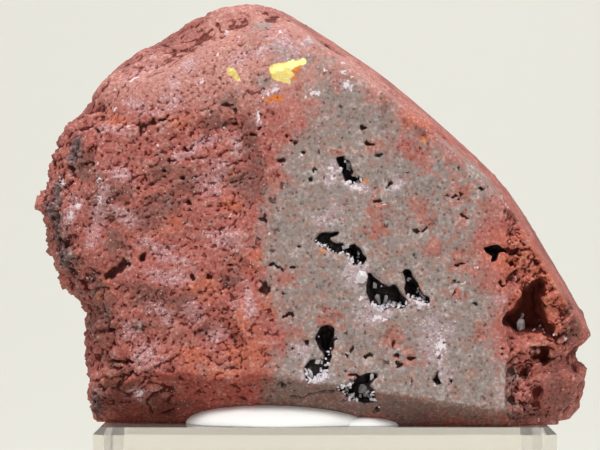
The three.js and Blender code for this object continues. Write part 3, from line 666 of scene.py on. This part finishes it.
def surface_net(grid):
    """Points and quads of the surface where the field changes sign"""
    field = grid.field
    solid = field < 0
    cells = tuple(n - 1 for n in field.shape)
    count = np.zeros(cells, np.uint8)
    for corner in range(8):
        count += solid[tuple(slice((corner >> a) & 1, cells[a] + ((corner >> a) & 1)) for a in range(3))]
    active = np.argwhere((count > 0) & (count < 8))
    ids = np.full(cells, -1, np.int32)
    ids[tuple(active.T)] = np.arange(len(active))

    values = [field[tuple(active[:, a] + ((corner >> a) & 1) for a in range(3))] for corner in range(8)]
    place = np.zeros((len(active), 3), np.float32)
    hits = np.zeros(len(active), np.float32)
    for a, b in CUBE_EDGES:
        crossing = (values[a] < 0) != (values[b] < 0)
        t = np.where(crossing, values[a] / np.where(crossing, values[a] - values[b], 1), 0)
        start = np.array([(a >> axis) & 1 for axis in range(3)], np.float32)
        end = np.array([(b >> axis) & 1 for axis in range(3)], np.float32)
        place += crossing[:, None] * (start + t[:, None] * (end - start))
        hits += crossing
    place = active + place / hits[:, None]
    low = np.array([axis[0] for axis in grid.axes], np.float32)
    points = low + place * grid.step

    quads = []
    for axis in range(3):
        u, v = (axis + 1) % 3, (axis + 2) % 3
        lower = [slice(None)] * 3
        upper = [slice(None)] * 3
        lower[axis], upper[axis] = slice(None, -1), slice(1, None)
        edges = np.argwhere(solid[tuple(lower)] != solid[tuple(upper)])
        edges = edges[(edges[:, u] > 0) & (edges[:, v] > 0)]
        around = []
        for du, dv in ((0, 0), (1, 0), (1, 1), (0, 1)):
            cell = edges.copy()
            cell[:, u] -= du
            cell[:, v] -= dv
            around.append(ids[tuple(cell.T)])
        quad = np.stack(around, 1)
        outward = solid[tuple(edges.T)]
        quads.append(np.where(outward[:, None], quad, quad[:, ::-1]))
    return points, np.concatenate(quads)


def largest_piece(points, quads):
    """Drops specks and sealed bubbles: keeps the largest connected surface"""
    label = np.arange(len(points))
    pairs = np.concatenate([quads[:, [0, 1]], quads[:, [1, 2]], quads[:, [2, 3]]])
    while True:
        lowest = np.minimum(label[pairs[:, 0]], label[pairs[:, 1]])
        new = label.copy()
        np.minimum.at(new, pairs[:, 0], lowest)
        np.minimum.at(new, pairs[:, 1], lowest)
        new = new[new]
        if np.array_equal(new, label):
            break
        label = new
    kept = label == np.argmax(np.bincount(label))
    number = np.cumsum(kept) - 1
    return points[kept], number[quads[kept[quads[:, 0]]]]


def mesh_from(name, points, faces, offset=(0, 0, BLOCK_TOP)):
    """A mesh of equal-sided faces from points in millimetres"""
    mesh = bpy.data.meshes.new(name)
    faces = np.asarray(faces, np.int32)
    sides = faces.shape[1]
    mesh.vertices.add(len(points))
    mesh.vertices.foreach_set("co", (np.asarray(points) * MM + offset).astype(np.float32).ravel())
    mesh.loops.add(faces.size)
    mesh.loops.foreach_set("vertex_index", faces.ravel())
    mesh.polygons.add(len(faces))
    mesh.polygons.foreach_set("loop_start", np.arange(0, faces.size, sides, dtype=np.int32))
    mesh.update(calc_edges=True)
    return mesh


def add_object(name, mesh, smooth=True):
    obj = bpy.data.objects.new(name, mesh)
    bpy.context.scene.collection.objects.link(obj)
    mesh.polygons.foreach_set("use_smooth", np.full(len(mesh.polygons), smooth))
    return obj


def point_values(mesh, name):
    """The place or the normal of every point of a mesh"""
    flat = np.empty(len(mesh.vertices) * 3, np.float32)
    mesh.vertices.foreach_get(name, flat)
    return flat.reshape(-1, 3)


def local_points(mesh):
    """A mesh's points in millimetres in the stone's frame"""
    return point_values(mesh, "co") / MM - np.array((0, 0, BLOCK_TOP / MM), np.float32)


def cells(x, y, z, seed):
    """The nearest of scattered points: its own number, the way to it, and the gap to the next"""
    corner = [np.floor(v).astype(np.int32) for v in (x, y, z)]
    first = np.full(x.shape, 9, np.float32)
    second = first.copy()
    number, across, up = np.zeros((3,) + x.shape, np.float32)
    for step in range(27):
        i, j, k = (c + n - 1 for c, n in zip(corner, (step % 3, step // 3 % 3, step // 9)))
        dx = i + lattice_value(i, j, k, seed) - x
        dy = j + lattice_value(i, j, k, seed + 1) - y
        dz = k + lattice_value(i, j, k, seed + 2) - z
        far = dx * dx + dy * dy + dz * dz
        nearer = far < first
        second = np.where(nearer, first, np.minimum(second, far))
        first = np.where(nearer, far, first)
        number = np.where(nearer, lattice_value(i, j, k, seed + 3), number)
        across = np.where(nearer, dx, across)
        up = np.where(nearer, dz, up)
    return number, across, up, np.sqrt(second) - np.sqrt(first)


def flakes(x, y, slant, kind):
    """Tilted plates with cracks between them, between about -1 and 1"""
    (wide, deep, tall), seed, crack = FLAKES[kind]
    number, across, up, gap = cells(x / wide, y / deep, slant / tall, seed)
    turn = 2 * math.pi * 7 * number
    plate = 2 * number - 1 + 1.1 * (np.cos(turn) * across + np.sin(turn) * up)
    return plate - crack * (1 - smooth_step(0, 0.16, gap))


def mark_distance(x, z, px, py, half_wide, half_tall=None, turn=0):
    """Way from a mark's middle, 1 at its edge"""
    mark_x, mark_z = seen_at(px, py)
    c, s = math.cos(math.radians(turn)), math.sin(math.radians(turn))
    across, up = x - mark_x, z - mark_z
    u = (across * c + up * s) / (half_wide * PIXEL)
    v = (up * c - across * s) / ((half_tall or half_wide) * PIXEL)
    return np.sqrt(u * u + v * v)


def patches(kind, x, z, warp=0.1, bend=0.35):
    """How far a point is inside a kind's uneven marks: 1 in the middle of one, 0 outside"""
    total = np.zeros(x.shape, np.float32)
    x, z = swayed(x, 0 * x, z, warp, bend, 87)
    for mark in MARKS[kind]:
        total = np.maximum(total, 1 - mark_distance(x, z, *mark) / 1.5)
    return np.maximum(total, 0)


def crack_depth(x, z, half_width):
    """1 in the middle of the wandering cracks, 0 beside them"""
    total = np.zeros(x.shape, np.float32)
    x, z = swayed(x, 0 * x, z, 0.22, 0.5, 93)
    for line in CRACKS:
        points = [seen_at(px, py) for px, py in line]
        for start, end in zip(points, points[1:]):
            total = np.maximum(total, 1 - line_distance(start, end, x, z) / half_width)
    return np.maximum(total, 0)


def behind_face(x, y, z):
    """x and z that wander behind the face on the right, so that no mark streaks along the side"""
    wander = 0.7 * np.clip(y - FACE_DEPTH - 1, 0, 3) * smooth_step(-6, 0, x)
    return swayed(x, y, z, wander, 1.8, 89)


def relief(x, y, z):
    """Fine relief of the surface, outwards, and how far each point is in a pit or crack"""
    behind, right, left, top = regions(x, y, z)
    front = 1 - behind
    natural = natural_stone(x, y, z)
    sawn = np.maximum(sawn_cuts(x, y, z), -z)
    broken = smooth_step(-0.05, 0.12, natural - sawn)
    coarse, middle, small = [flakes(x, y, z - SLANT * x, kind) for kind in FLAKES]
    grains = noise(x, y, z, (0.2, 0.2, 0.16), 73)
    chunky = smooth_step(0.15, 0.5, patches("chunky", x, z)) * front * (1 - 0.5 * smooth_step(8, 12, z))
    calm = 0.85 * smooth_step(0.1, 0.5, patches("calm", x, z))
    rough_left = left * front * (0.6 + 0.8 * noise(x, 0 * y, z, (3, 1, 2.2), 79)) * (1 - 0.5 * top)
    side = behind * (0.55 - 0.35 * top) * (1 - 0.6 * smooth_step(-4, 2, x))
    crumbly = right * front * (1 - calm)
    strength = np.maximum.reduce([0.22 * rough_left, 0.6 * chunky, 0.55 * crumbly, side])
    fine = np.maximum.reduce([strength, 0.34 * left * front, 0.6 * crumbly])
    broken = np.maximum(broken, chunky)
    out = strength * (0.36 * coarse + 0.24 * middle)
    blocks = cells(*[v / size for v, size in zip((x, y, z), BLOCK_SIZES)], 75)[3]
    out += 0.3 * chunky * coarse - 0.7 * chunky * (1 - smooth_step(0, BLOCK_GAP, blocks))
    swirl = noise(x, y, z, (1.6, 1.6, 1.1), 77)
    out = broken * (out + 0.05 * left * swirl)
    red_face = 0.3 * smooth_step(-2, -4, x) * front
    out += np.maximum(broken * fine, red_face) * (0.15 * small + 0.09 * grains)

    pinholes = noise(x, y, z, (0.4, 0.4, 0.35), 71) + 0.4 * noise(x, y, z, 0.2, 72)
    pinholes = smooth_step(0.85, 1.15, pinholes)
    on_front = 1 - smooth_step(*PITS_FADE, y)
    ragged = 0.3 * noise(x, y, z, 0.17, 74)
    pits = smooth_step(0.12, 0.75, patches("pit", *behind_face(x, y, z), 0.25) + ragged) * on_front
    cracks = crack_depth(x, z, CRACK_HALF_WIDTH) * on_front
    deep = np.maximum.reduce([0.5 * pinholes * (1 - 0.4 * broken), pits, 0.8 * cracks])
    return out - PIT_DEPTH * deep, deep


def shape_relief(mesh):
    """Moves a smooth mesh's points along its normals by the fine relief"""
    points = local_points(mesh)
    x, y, z = points.T
    settled = smooth_step(0.1, 0.9, z)
    points += point_values(mesh, "normal") * (relief(x, y, z)[0] * settled)[:, None]
    mesh.vertices.foreach_set("co", (points * MM + (0, 0, BLOCK_TOP)).astype(np.float32).ravel())
    mesh.update()


def add_values(mesh, name, values):
    layer = mesh.attributes.new(name, "FLOAT", "POINT")
    layer.data.foreach_set("value", np.ascontiguousarray(values, dtype=np.float32))


def hollow_depth(x, y, z):
    """How deep a point lies inside the hollows, from the surface that they are cut into"""
    inside = nearest_outline(HOLLOW_OUTLINES.values(), x, z) < 0.3
    inside &= y < FACE_DEPTH + 5
    return inside * np.maximum(-form_field(x, y, z), 0)


def creases(mesh):
    """How much lower each point lies than its neighbours, in millimetres"""
    points = local_points(mesh)
    edges = np.empty(len(mesh.edges) * 2, np.int32)
    mesh.edges.foreach_get("vertices", edges)
    a, b = edges.reshape(-1, 2).T
    ends = np.concatenate([a, b])
    count = np.bincount(ends, minlength=len(points))
    smoothed = points
    for _ in range(4):
        total = np.zeros_like(points)
        for axis in range(3):
            values = smoothed[:, axis]
            total[:, axis] = np.bincount(ends, np.concatenate([values[b], values[a]]), len(points))
        smoothed = total / count[:, None]
    return np.sum((smoothed - points) * point_values(mesh, "normal"), axis=1)


def grey_amount(x, z):
    """Distance inside the grey rock, in millimetres, with its patches in the red"""
    shifts = [0.5 * noise(x, 0 * x, z, 1.3, seed) + 0.2 * noise(x, 0 * x, z, 0.5, seed + 1)
              for seed in (95, 97)]
    x, z = x + shifts[0], z + shifts[1]
    return np.maximum(-outline_distance(GREY_REGION, x, z), 1.6 * patches("grey", x, z) - 0.7)


def paint_values(mesh):
    """What the stone's material needs to know at each point"""
    x, y, z = local_points(mesh).T
    front = 1 - smooth_step(*MARKS_FADE, y - FACE_DEPTH + 1.3 * noise(x, y, z, 2.5, 99))
    # Depth in pits and cracks, which sets their painted shade
    add_values(mesh, "pit", relief(x, y, z)[1])
    # Crease depth, which sets the painted shade in creases and the painted highlight on ridges
    add_values(mesh, "crease", creases(mesh))
    crumbly = front * smooth_step(RIGHT_STEP["from"] - 0.4, RIGHT_STEP["to"], x)
    add_values(mesh, "right", crumbly)
    # Depth inside the hollows, which sets how dark their painted shade is
    add_values(mesh, "hollow", hollow_depth(x, y, z) - 0.45 * crumbly)
    # The bevel underneath, which gets painted shade as it faces down
    bevel = plane_distance(*bevel_plane(), x, y, z)
    add_values(mesh, "under", smooth_step(-0.25, -0.05, bevel) * (z < 4))
    x, z = behind_face(x, y, z)
    grey = np.clip(grey_amount(x, z), -GREY_EDGE, GREY_EDGE)
    add_values(mesh, "grey", front * (grey + GREY_EDGE) - GREY_EDGE)
    # The top, where the brick red gets painted light
    add_values(mesh, "top", front * regions(x, y, z)[3])
    add_values(mesh, "copper", np.where(front > 0.5, -nearest_outline(COPPER_OUTLINES, x, z), -2))
    add_values(mesh, "stain", front * patches("stain", x, z, 0.3, 1.0))
    add_values(mesh, "brown", np.maximum(front * patches("brown", x, z), 0.5 * (1 - front)))
    for kind in ("lilac", "warm", "dark_edge", "orange", "white"):
        add_values(mesh, kind, front * patches(kind, x, z))


def tone(red, green, blue):
    """Linear colour of an sRGB tone from 0 to 255"""
    linear = [((c / 255 + 0.055) / 1.055) ** 2.4 if c > 10 else c / 3295 for c in (red, green, blue)]
    return (*linear, 1)


class Tree:
    """Short calls that build a material's nodes, with distances in millimetres"""

    def __init__(self, name):
        self.material = bpy.data.materials.new(name)
        self.material.use_nodes = True
        self.place = self.scaled(self.add("TexCoord")["Object"], (1 / MM,) * 3)

    def fill(self, node, inputs):
        """Gives a node's inputs their values, or links them to other nodes"""
        for name, value in inputs.items():
            if isinstance(value, bpy.types.NodeSocket):
                self.material.node_tree.links.new(value, node.inputs[name])
            else:
                node.inputs[name].default_value = value

    def add(self, kind, inputs=None, **settings):
        """The outputs of a new node"""
        node = self.material.node_tree.nodes.new("ShaderNode" + kind)
        for name, value in settings.items():
            setattr(node, name, value)
        self.fill(node, inputs or {})
        return node.outputs

    def finish(self, inputs):
        """Sets the shader up and hands the material over"""
        self.fill(self.material.node_tree.nodes["Principled BSDF"], inputs)
        return self.material

    def scaled(self, vector, factors):
        return self.add("VectorMath", {0: vector, 1: factors}, operation="MULTIPLY")[0]

    def value(self, name):
        return self.add("Attribute", attribute_name=name)["Fac"]

    def noise(self, size, detail=3, stretch=(1, 1, 1), distortion=0.0):
        """Cloudy noise with lumps of a size in millimetres"""
        place = self.scaled(self.place, [1 / (size * s) for s in stretch])
        inputs = {"Vector": place, "Scale": 1, "Detail": detail, "Distortion": distortion}
        return self.add("TexNoise", inputs)["Fac"]

    def spots(self, size):
        """Distance from scattered points, and a number for each of them"""
        place = self.scaled(self.place, (1 / size,) * 3)
        outputs = self.add("TexVoronoi", {"Vector": place, "Scale": 1})
        return outputs["Distance"], outputs["Color"]

    def calc(self, operation, a, b):
        return self.add("Math", {0: a, 1: b}, operation=operation)[0]

    def both(self, a, b):
        return self.calc("MULTIPLY", a, b)

    def step(self, value, low, high, out_low=0.0, out_high=1.0):
        inputs = {"Value": value, "From Min": low, "From Max": high, "To Min": out_low, "To Max": out_high}
        return self.add("MapRange", inputs, interpolation_type="SMOOTHSTEP")["Result"]

    def mix(self, share, a, b, mode="MIX"):
        return self.add("Mix", {"Factor": share, 6: a, 7: b}, data_type="RGBA", blend_type=mode)[2]

    def ragged(self, name, noise, amount, low, high):
        """A painted value with its edge broken up by noise"""
        shift = self.both(self.calc("SUBTRACT", noise, 0.5), amount)
        return self.step(self.calc("ADD", self.value(name), shift), low, high)

    def rock(self, light, kind):
        """A kind of rock, from its shaded to its bright grains"""
        dark, middle, bright = [tone(*grains) for grains in ROCKS[kind]]
        color = self.mix(self.step(light, 0.08, 0.5), dark, middle)
        return self.mix(self.step(light, 0.5, 0.92), color, bright)

    def bump(self, height, distance, strength):
        return self.add("Bump", {"Strength": strength, "Distance": distance * MM, "Height": height})[0]


def red_stone(t, light, drift):
    """Brick red rock, warmer and browner in places, and with painted light on its top"""
    color = t.mix(t.ragged("warm", drift, 1.5, 0.15, 0.85), t.rock(light, "red"), t.rock(light, "warm"))
    color = t.mix(t.ragged("brown", drift, -1.5, 0.15, 0.85), color, t.rock(light, "brown"))
    # Painted light: the top, which faces up towards the lamps, is lighter
    color = t.mix(t.both(t.value("top"), 0.7), color, t.rock(light, "pale"))
    return t.mix(t.ragged("dark_edge", drift, 1.2, 0.15, 0.7), color, t.rock(light, "dark"))


def grey_stone(t, light, drift, mottle):
    """Grey-brown rock, mottled with pink and with brick red stains"""
    cloudy = t.calc("ADD", t.both(drift, 0.5), t.both(mottle, 0.5))
    color = t.mix(t.step(cloudy, 0.47, 0.58, 0, 0.8), t.rock(light, "grey"), t.rock(light, "pink"))
    color = t.mix(t.ragged("brown", mottle, 1.2, 0.2, 0.8), color, t.rock(light, "deep grey"))
    stained = t.ragged("stain", mottle, 1.9, 0.25, 0.85)
    return t.mix(t.both(stained, 0.85), color, t.rock(light, "stain"))


def grain_with_painted_shade(t, grey, fine, clouds):
    """One scale from shaded to bright grains: fine grain and clouds, with painted shade in creases and a
    painted highlight on ridges
    """
    crease = t.value("crease")
    grain = t.both(t.calc("SUBTRACT", fine, 0.5), t.step(grey, 0, 1, 1.2, 1.1))
    light = t.calc("ADD", t.calc("ADD", grain, 0.5), t.both(t.calc("SUBTRACT", clouds, 0.5), 0.4))
    # Painted shade where the surface lies lower than around it, painted highlight where it stands proud
    light = t.calc("SUBTRACT", light, t.step(crease, 0.006, 0.06, 0, 0.42))
    return t.calc("ADD", light, t.step(crease, -0.006, -0.08, 0, 0.12))


def add_specks(t, color, lilac):
    """Painted glints of scattered crystal grains, more of them in the lilac haze, and dark specks"""
    # Painted glints: near-white dots for light glinting off small crystal faces
    far, number = t.spots(0.22)
    rare = t.calc("ADD", number, t.both(lilac, 0.4))
    painted_glint = t.both(t.step(far, 0.36, 0.12), t.step(rare, 0.8, 0.86))
    color = t.mix(t.both(painted_glint, 0.7), color, tone(244, 222, 222))
    far, number = t.spots(0.36)
    speck = t.both(t.step(far, 0.36, 0.16), t.step(number, 0.72, 0.8))
    return t.mix(t.both(speck, 0.6), color, tone(84, 46, 44))


def cuprite_material():
    t = Tree("cuprite")
    clouds = t.noise(1.3, 5, distortion=0.5)
    drift = t.noise(1.1, 6, stretch=(1.5, 1, 0.8), distortion=0.7)
    mottle = t.noise(0.55, 4, distortion=0.6)
    fine = t.noise(0.22, 4)
    grey = t.ragged("grey", t.calc("ADD", t.both(mottle, 0.6), t.both(clouds, 0.4)), 6, -0.8, 1.1)
    light = grain_with_painted_shade(t, grey, fine, clouds)
    color = t.mix(grey, red_stone(t, light, drift), grey_stone(t, light, drift, mottle))

    haze = t.mix(grey, t.rock(light, "haze on red"), t.rock(light, "haze on grey"))
    streaks = t.noise(0.45, 5, stretch=(1.9, 1, 0.8), distortion=0.8)
    lilac = t.ragged("lilac", streaks, 1.9, 0.2, 0.7)
    color = add_specks(t, t.mix(t.both(lilac, 0.62), color, haze), lilac)

    # Painted shade on the bevel underneath, which faces down away from the lamps
    shade = t.mix(grey, tone(226, 198, 190), tone(206, 184, 176))
    color = t.mix(t.value("under"), color, shade, "MULTIPLY")
    # Painted shade in the pits and cracks, on top of their cut relief
    pit = t.ragged("pit", fine, 1.2, 0.2, 0.9)
    color = t.mix(t.both(pit, 0.85), color, t.mix(grey, tone(64, 24, 19), tone(58, 38, 34)))
    white = t.both(t.ragged("white", t.noise(0.2, 4), 2.4, 0.4, 0.7), 0.9)
    color = t.mix(white, color, tone(246, 232, 238))
    orange = t.ragged("orange", t.noise(0.3, 4), 1.4, 0.3, 0.6)
    color = t.mix(orange, color, t.rock(light, "orange"))

    # The hollows' walls are nearly black, dark minerals with painted shade that deepens inwards, and dark
    # red in the crumbly end
    lining_and_shade = t.mix(t.value("right"), t.rock(light, "lining_and_shade"), t.rock(clouds, "red lining"))
    color = t.mix(t.ragged("hollow", fine, 0.35, 0.08, 0.32), color, lining_and_shade)
    copper = t.ragged("copper", mottle, 0.5, -0.05, 0.06)
    color = t.mix(copper, color, t.rock(t.noise(0.6, 4), "copper"))

    polish = t.mix(grey, (0.8,) * 4, (0.5,) * 4)
    rough = t.mix(copper, t.mix(white, polish, (0.3,) * 4), (0.35,) * 4)
    bumps = t.bump(t.calc("ADD", fine, t.noise(0.09, 2)), 0.06, 0.8)
    return t.finish({"Base Color": color, "Metallic": t.both(copper, 0.5), "Roughness": rough,
                     "Specular IOR Level": 0.2, "Normal": bumps})


def crystal_material():
    """Small glassy crystals, white to lilac with dark ones among them"""
    t = Tree("vug_crystals")
    tint = t.value("tint")
    color = t.mix(t.step(tint, 0.25, 0.6), tone(44, 34, 40), tone(176, 152, 172))
    # The whitest tint is partly a painted glint on the larger crystals
    color = t.mix(t.step(tint, 0.6, 0.9), color, tone(250, 246, 250))
    color = t.mix(t.step(t.value("olive"), 0.4, 0.6), color, tone(150, 132, 78))
    return t.finish({"Base Color": color, "Roughness": 0.12, "IOR": 1.6, "Transmission Weight": 0.25})


def putty_material():
    t = Tree("white_putty")
    color = t.mix(t.noise(3, 3), tone(250, 250, 246), tone(255, 255, 253))
    return t.finish({"Base Color": color, "Roughness": 0.65, "Subsurface Weight": 0.2,
                     "Subsurface Radius": (0.002,) * 3, "Normal": t.bump(t.noise(0.8, 3), 0.05, 0.4)})


def acrylic_material():
    """Clear and a little milky"""
    return Tree("clear_acrylic").finish({
        "Base Color": tone(255, 250, 240), "Roughness": 0.03, "IOR": 1.49, "Transmission Weight": 0.78})


def busy_points(mesh):
    """Points of the front that the fine relief or a mark needs, and a wide net of the others"""
    x, y, z = local_points(mesh).T
    front = y < FACE_DEPTH + 4
    broken = natural_stone(x, y, z) > sawn_cuts(x, y, z) - 0.1
    marked = np.maximum.reduce([patches(kind, x, z) for kind in ("pit", "white", "orange")]) > 0.02
    marked |= crack_depth(x, z, 0.25) > 0
    marked |= np.abs(nearest_outline(COPPER_OUTLINES, x, z)) < 0.2
    hollow = hollow_depth(x, y, z) > 0.08
    on_net = (np.round(x / VOXEL) % 4 == 0) & (np.round(z / VOXEL) % 4 == 0)
    return front & (broken | marked | hollow | on_net)


def thin_out(obj):
    """Lowers the mesh to the triangle budget, away from the points that carry detail"""
    kept = busy_points(obj.data)
    group = obj.vertex_groups.new(name="free")
    group.add(np.nonzero(~kept)[0].tolist(), 1, "REPLACE")
    modifier = obj.modifiers.new("thin", "DECIMATE")
    modifier.vertex_group = "free"
    modifier.vertex_group_factor = 10
    modifier.ratio = min(1, STONE_TRIANGLES / (2 * len(obj.data.polygons)))
    graph = bpy.context.evaluated_depsgraph_get()
    mesh = bpy.data.meshes.new_from_object(obj.evaluated_get(graph))
    obj.modifiers.clear()
    obj.vertex_groups.clear()
    obj.data = mesh


def make_stone():
    grid = Grid(VOXEL)
    for name, outline in HOLLOW_OUTLINES.items():
        carve_hollow(grid, outline, HOLLOWS[name][0])
    carve_putty_bed(grid)
    points, quads = largest_piece(*surface_net(grid))
    stone = add_object("cuprite_stone", mesh_from("cuprite_stone", points, quads))
    shape_relief(stone.data)
    thin_out(stone)
    paint_values(stone.data)
    stone.data.materials.append(cuprite_material())
    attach(stone, "root")
    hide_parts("stone")
    return stone


def skin(levels, sides):
    """Triangles between rings of points that lie one above the other"""
    faces = []
    for level in range(levels - 1):
        for s in range(sides):
            a, b = level * sides + s, level * sides + (s + 1) % sides
            faces += [(a, b, b + sides), (a, b + sides, a + sides)]
    return faces


def dome(wad, rings, steps, waviness):
    """Half an oval ball with a soft hand-pressed surface"""
    points = []
    for r in range(rings):
        tilt = math.pi / 2 * r / rings
        for s in range(steps):
            angle = 2 * math.pi * s / steps
            u, v, w = math.cos(angle) * math.cos(tilt), math.sin(angle) * math.cos(tilt), math.sin(tilt)
            points.append((wad["x"] + u * wad["wide"] / 2, wad["y"] + v * wad["long"] / 2, w * wad["tall"]))
    points.append((wad["x"], wad["y"], wad["tall"]))
    points = np.array(points)
    ripple = waviness * noise(*points.T, 1.6, 91)
    middle = np.array((wad["x"], wad["y"], 0))
    points = middle + (points - middle) * (1 + ripple)[:, None]
    points[:, 2] = np.maximum(points[:, 2], 0)
    top, last = len(points) - 1, (rings - 1) * steps
    faces = skin(rings, steps)
    faces += [(last + s, last + (s + 1) % steps, top) for s in range(steps)]
    faces += [(0, s + 1, s) for s in range(1, steps - 1)]
    return points, faces


def make_putty():
    points, faces = [], []
    for wad in (PUTTY, PUTTY_LOBE):
        more_points, more_faces = dome(wad, 26, 110, 0.012)
        faces += [tuple(i + len(points) for i in face) for face in more_faces]
        points += more_points.tolist()
    putty = add_object("putty_wad", mesh_from("putty_wad", np.array(points), faces))
    putty.data.materials.append(putty_material())
    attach(putty, "root")
    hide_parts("putty")


def crystal_shape(kind, wide, tall):
    """Points and triangles of a small crystal that stands on z = 0: a blunt or a pointed prism"""
    sides, shoulder, tip = (6, 0.55, 0.0) if kind == "pointed" else (4, 0.8, 0.35)
    ring = [(math.cos(2 * math.pi * s / sides), math.sin(2 * math.pi * s / sides)) for s in range(sides)]
    points = [(share * wide / 2 * c, share * wide / 2 * s, level * tall)
              for share, level in ((1, -0.3), (1, shoulder), (tip, 1)) for c, s in ring]
    faces = skin(3, sides)
    faces += [(2 * sides, 2 * sides + s, 2 * sides + s + 1) for s in range(1, sides - 1)]
    faces += [(0, s + 1, s) for s in range(1, sides - 1)]
    return np.array(points), faces


class Crust:
    """A hollow's crystals, gathered into one mesh"""

    def __init__(self):
        self.points, self.faces, self.tints = [], [], []

    def add(self, place, outward, wide, tall, tint, kind="pointed", spin=0.0):
        points, faces = crystal_shape(kind, wide, tall)
        turn = Vector(outward).to_track_quat("Z", "Y").to_matrix()
        turn = np.array(turn @ Euler((0, 0, spin)).to_matrix())
        base = len(self.points)
        self.points += (points @ turn.T + np.array(place)).tolist()
        self.faces += [tuple(i + base for i in face) for face in faces]
        self.tints += [tint] * len(points)

    def finish(self, name, node, olive):
        mesh = mesh_from(name, np.array(self.points), self.faces)
        add_values(mesh, "tint", self.tints)
        add_values(mesh, "olive", [olive] * len(self.points))
        piece = add_object(name, mesh, smooth=False)
        piece.data.materials.append(bpy.data.materials["vug_crystals"])
        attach(piece, "root")
        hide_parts(node)


def wall_points(points, normals, outlines, deep):
    """Points of the stone's surface inside hollows, with their outward directions"""
    x, y, z = points.T
    inside = nearest_outline(outlines, x, z) < 0.12
    inside &= (hollow_depth(x, y, z) > 0.12) & (y < FACE_DEPTH + deep + 3)
    return points[inside], normals[inside]


def make_crust(node, hollows, count, sizes, pale, points, normals):
    """Crystals all over a hollow's wall"""
    random = np.random.default_rng(len(node) + count)
    crust = Crust()
    outlines = [HOLLOW_OUTLINES[name] for name in hollows]
    places, outward = wall_points(points, normals, outlines, max(HOLLOWS[name][0] for name in hollows))
    clump = noise(*places.T, 0.9, 99) - 0.5 * places[:, 2]
    order = np.argsort(-clump - random.normal(0, 0.45, len(places)))
    for i in order[:count]:
        lean = outward[i] + random.normal(0, 0.45, 3) + (0, -0.3, 0)
        wide = random.uniform(*sizes)
        tint = random.uniform(0.55, 1) if random.random() < pale else random.uniform(0, 0.35)
        kind = "pointed" if random.random() < 0.6 else "blunt"
        tall = wide * random.uniform(0.8, 1.8)
        crust.add(places[i], lean, wide, tall, tint, kind, random.uniform(0, 6))
    for px, py, wide, tall, tint, turn in NAMED_CRYSTALS[node]:
        x, z = seen_at(px, py)
        far = np.hypot(points[:, 0] - x, points[:, 2] - z) + 0.02 * (points[:, 1] - FACE_DEPTH)
        near = np.argmin(far)
        lean = (math.sin(math.radians(turn)), -0.7, math.cos(math.radians(turn)))
        crust.add(points[near], lean, wide, tall, tint, "blunt", 0.6)
    crust.finish(node + "_cluster", node, OLIVE_TINT.get(node, 0))


def make_crystals(stone):
    crystal_material()
    points, normals = local_points(stone.data), point_values(stone.data, "normal")
    for node, crust in CRUSTS.items():
        make_crust(node, *crust, points, normals)


def make_camera():
    data = bpy.data.cameras.new("camera")
    data.sensor_width = SENSOR
    data.lens = SENSOR * VIEW_DISTANCE / FRAME_WIDTH_AT_BLOCK
    data.clip_start = 0.01
    camera = bpy.data.objects.new("camera", data)
    front = BLOCK_LOW.y - VIEW_DISTANCE * MM
    camera.location = (VIEW_X * MM, front, BLOCK_TOP + VIEW_HEIGHT * MM)
    camera.rotation_euler = Euler((math.pi / 2, 0, 0))
    bpy.context.scene.collection.objects.link(camera)
    bpy.context.scene.camera = camera


def make_stage():
    """A pale sweep: the floor, a wide curve and the wall behind"""
    bend = STAGE_BACK - STAGE_RADIUS
    profile = [(STAGE_FRONT, 0), (bend, 0)]
    for step in range(1, STAGE_STEPS):
        angle = math.pi / 2 * step / STAGE_STEPS
        rise = STAGE_RADIUS - STAGE_RADIUS * math.cos(angle)
        profile.append((bend + STAGE_RADIUS * math.sin(angle), rise))
    profile += [(STAGE_BACK, STAGE_RADIUS), (STAGE_BACK, STAGE_TOP)]
    points = [(x, y, z) for y, z in profile for x in (-STAGE_HALF, STAGE_HALF)]
    faces = [(2 * i, 2 * i + 1, 2 * i + 3, 2 * i + 2) for i in range(len(profile) - 1)]
    mesh = mesh_from("sweep", np.array(points) / MM, faces, offset=(0, 0, 0))
    sweep = add_object("sweep", mesh)
    mesh.materials.append(Tree("sweep").finish({"Base Color": tone(216, 215, 207), "Roughness": 0.9}))


def add_light(name, location, size, energy):
    data = bpy.data.lights.new(name, "AREA")
    data.size = size
    data.energy = energy
    light = bpy.data.objects.new(name, data)
    light.location = location
    light.rotation_euler = (LIGHT_AIM - Vector(location)).to_track_quat("-Z", "Y").to_euler()
    bpy.context.scene.collection.objects.link(light)


def make_lights():
    for name, light in LIGHTS.items():
        add_light(name, *light)
    world = bpy.data.worlds.new("studio")
    world.use_nodes = True
    background = world.node_tree.nodes["Background"]
    background.inputs["Color"].default_value = (1, 0.99, 0.96, 1)
    background.inputs["Strength"].default_value = WORLD_LIGHT
    bpy.context.scene.world = world
    bpy.context.scene.view_settings.view_transform = "Standard"


make_camera()
make_stage()
make_lights()

stone = make_stone()
make_crystals(stone)
make_putty()
for item in bpy.data.objects:
    if item.name.startswith("clear_block"):
        item.material_slots[0].material = acrylic_material()
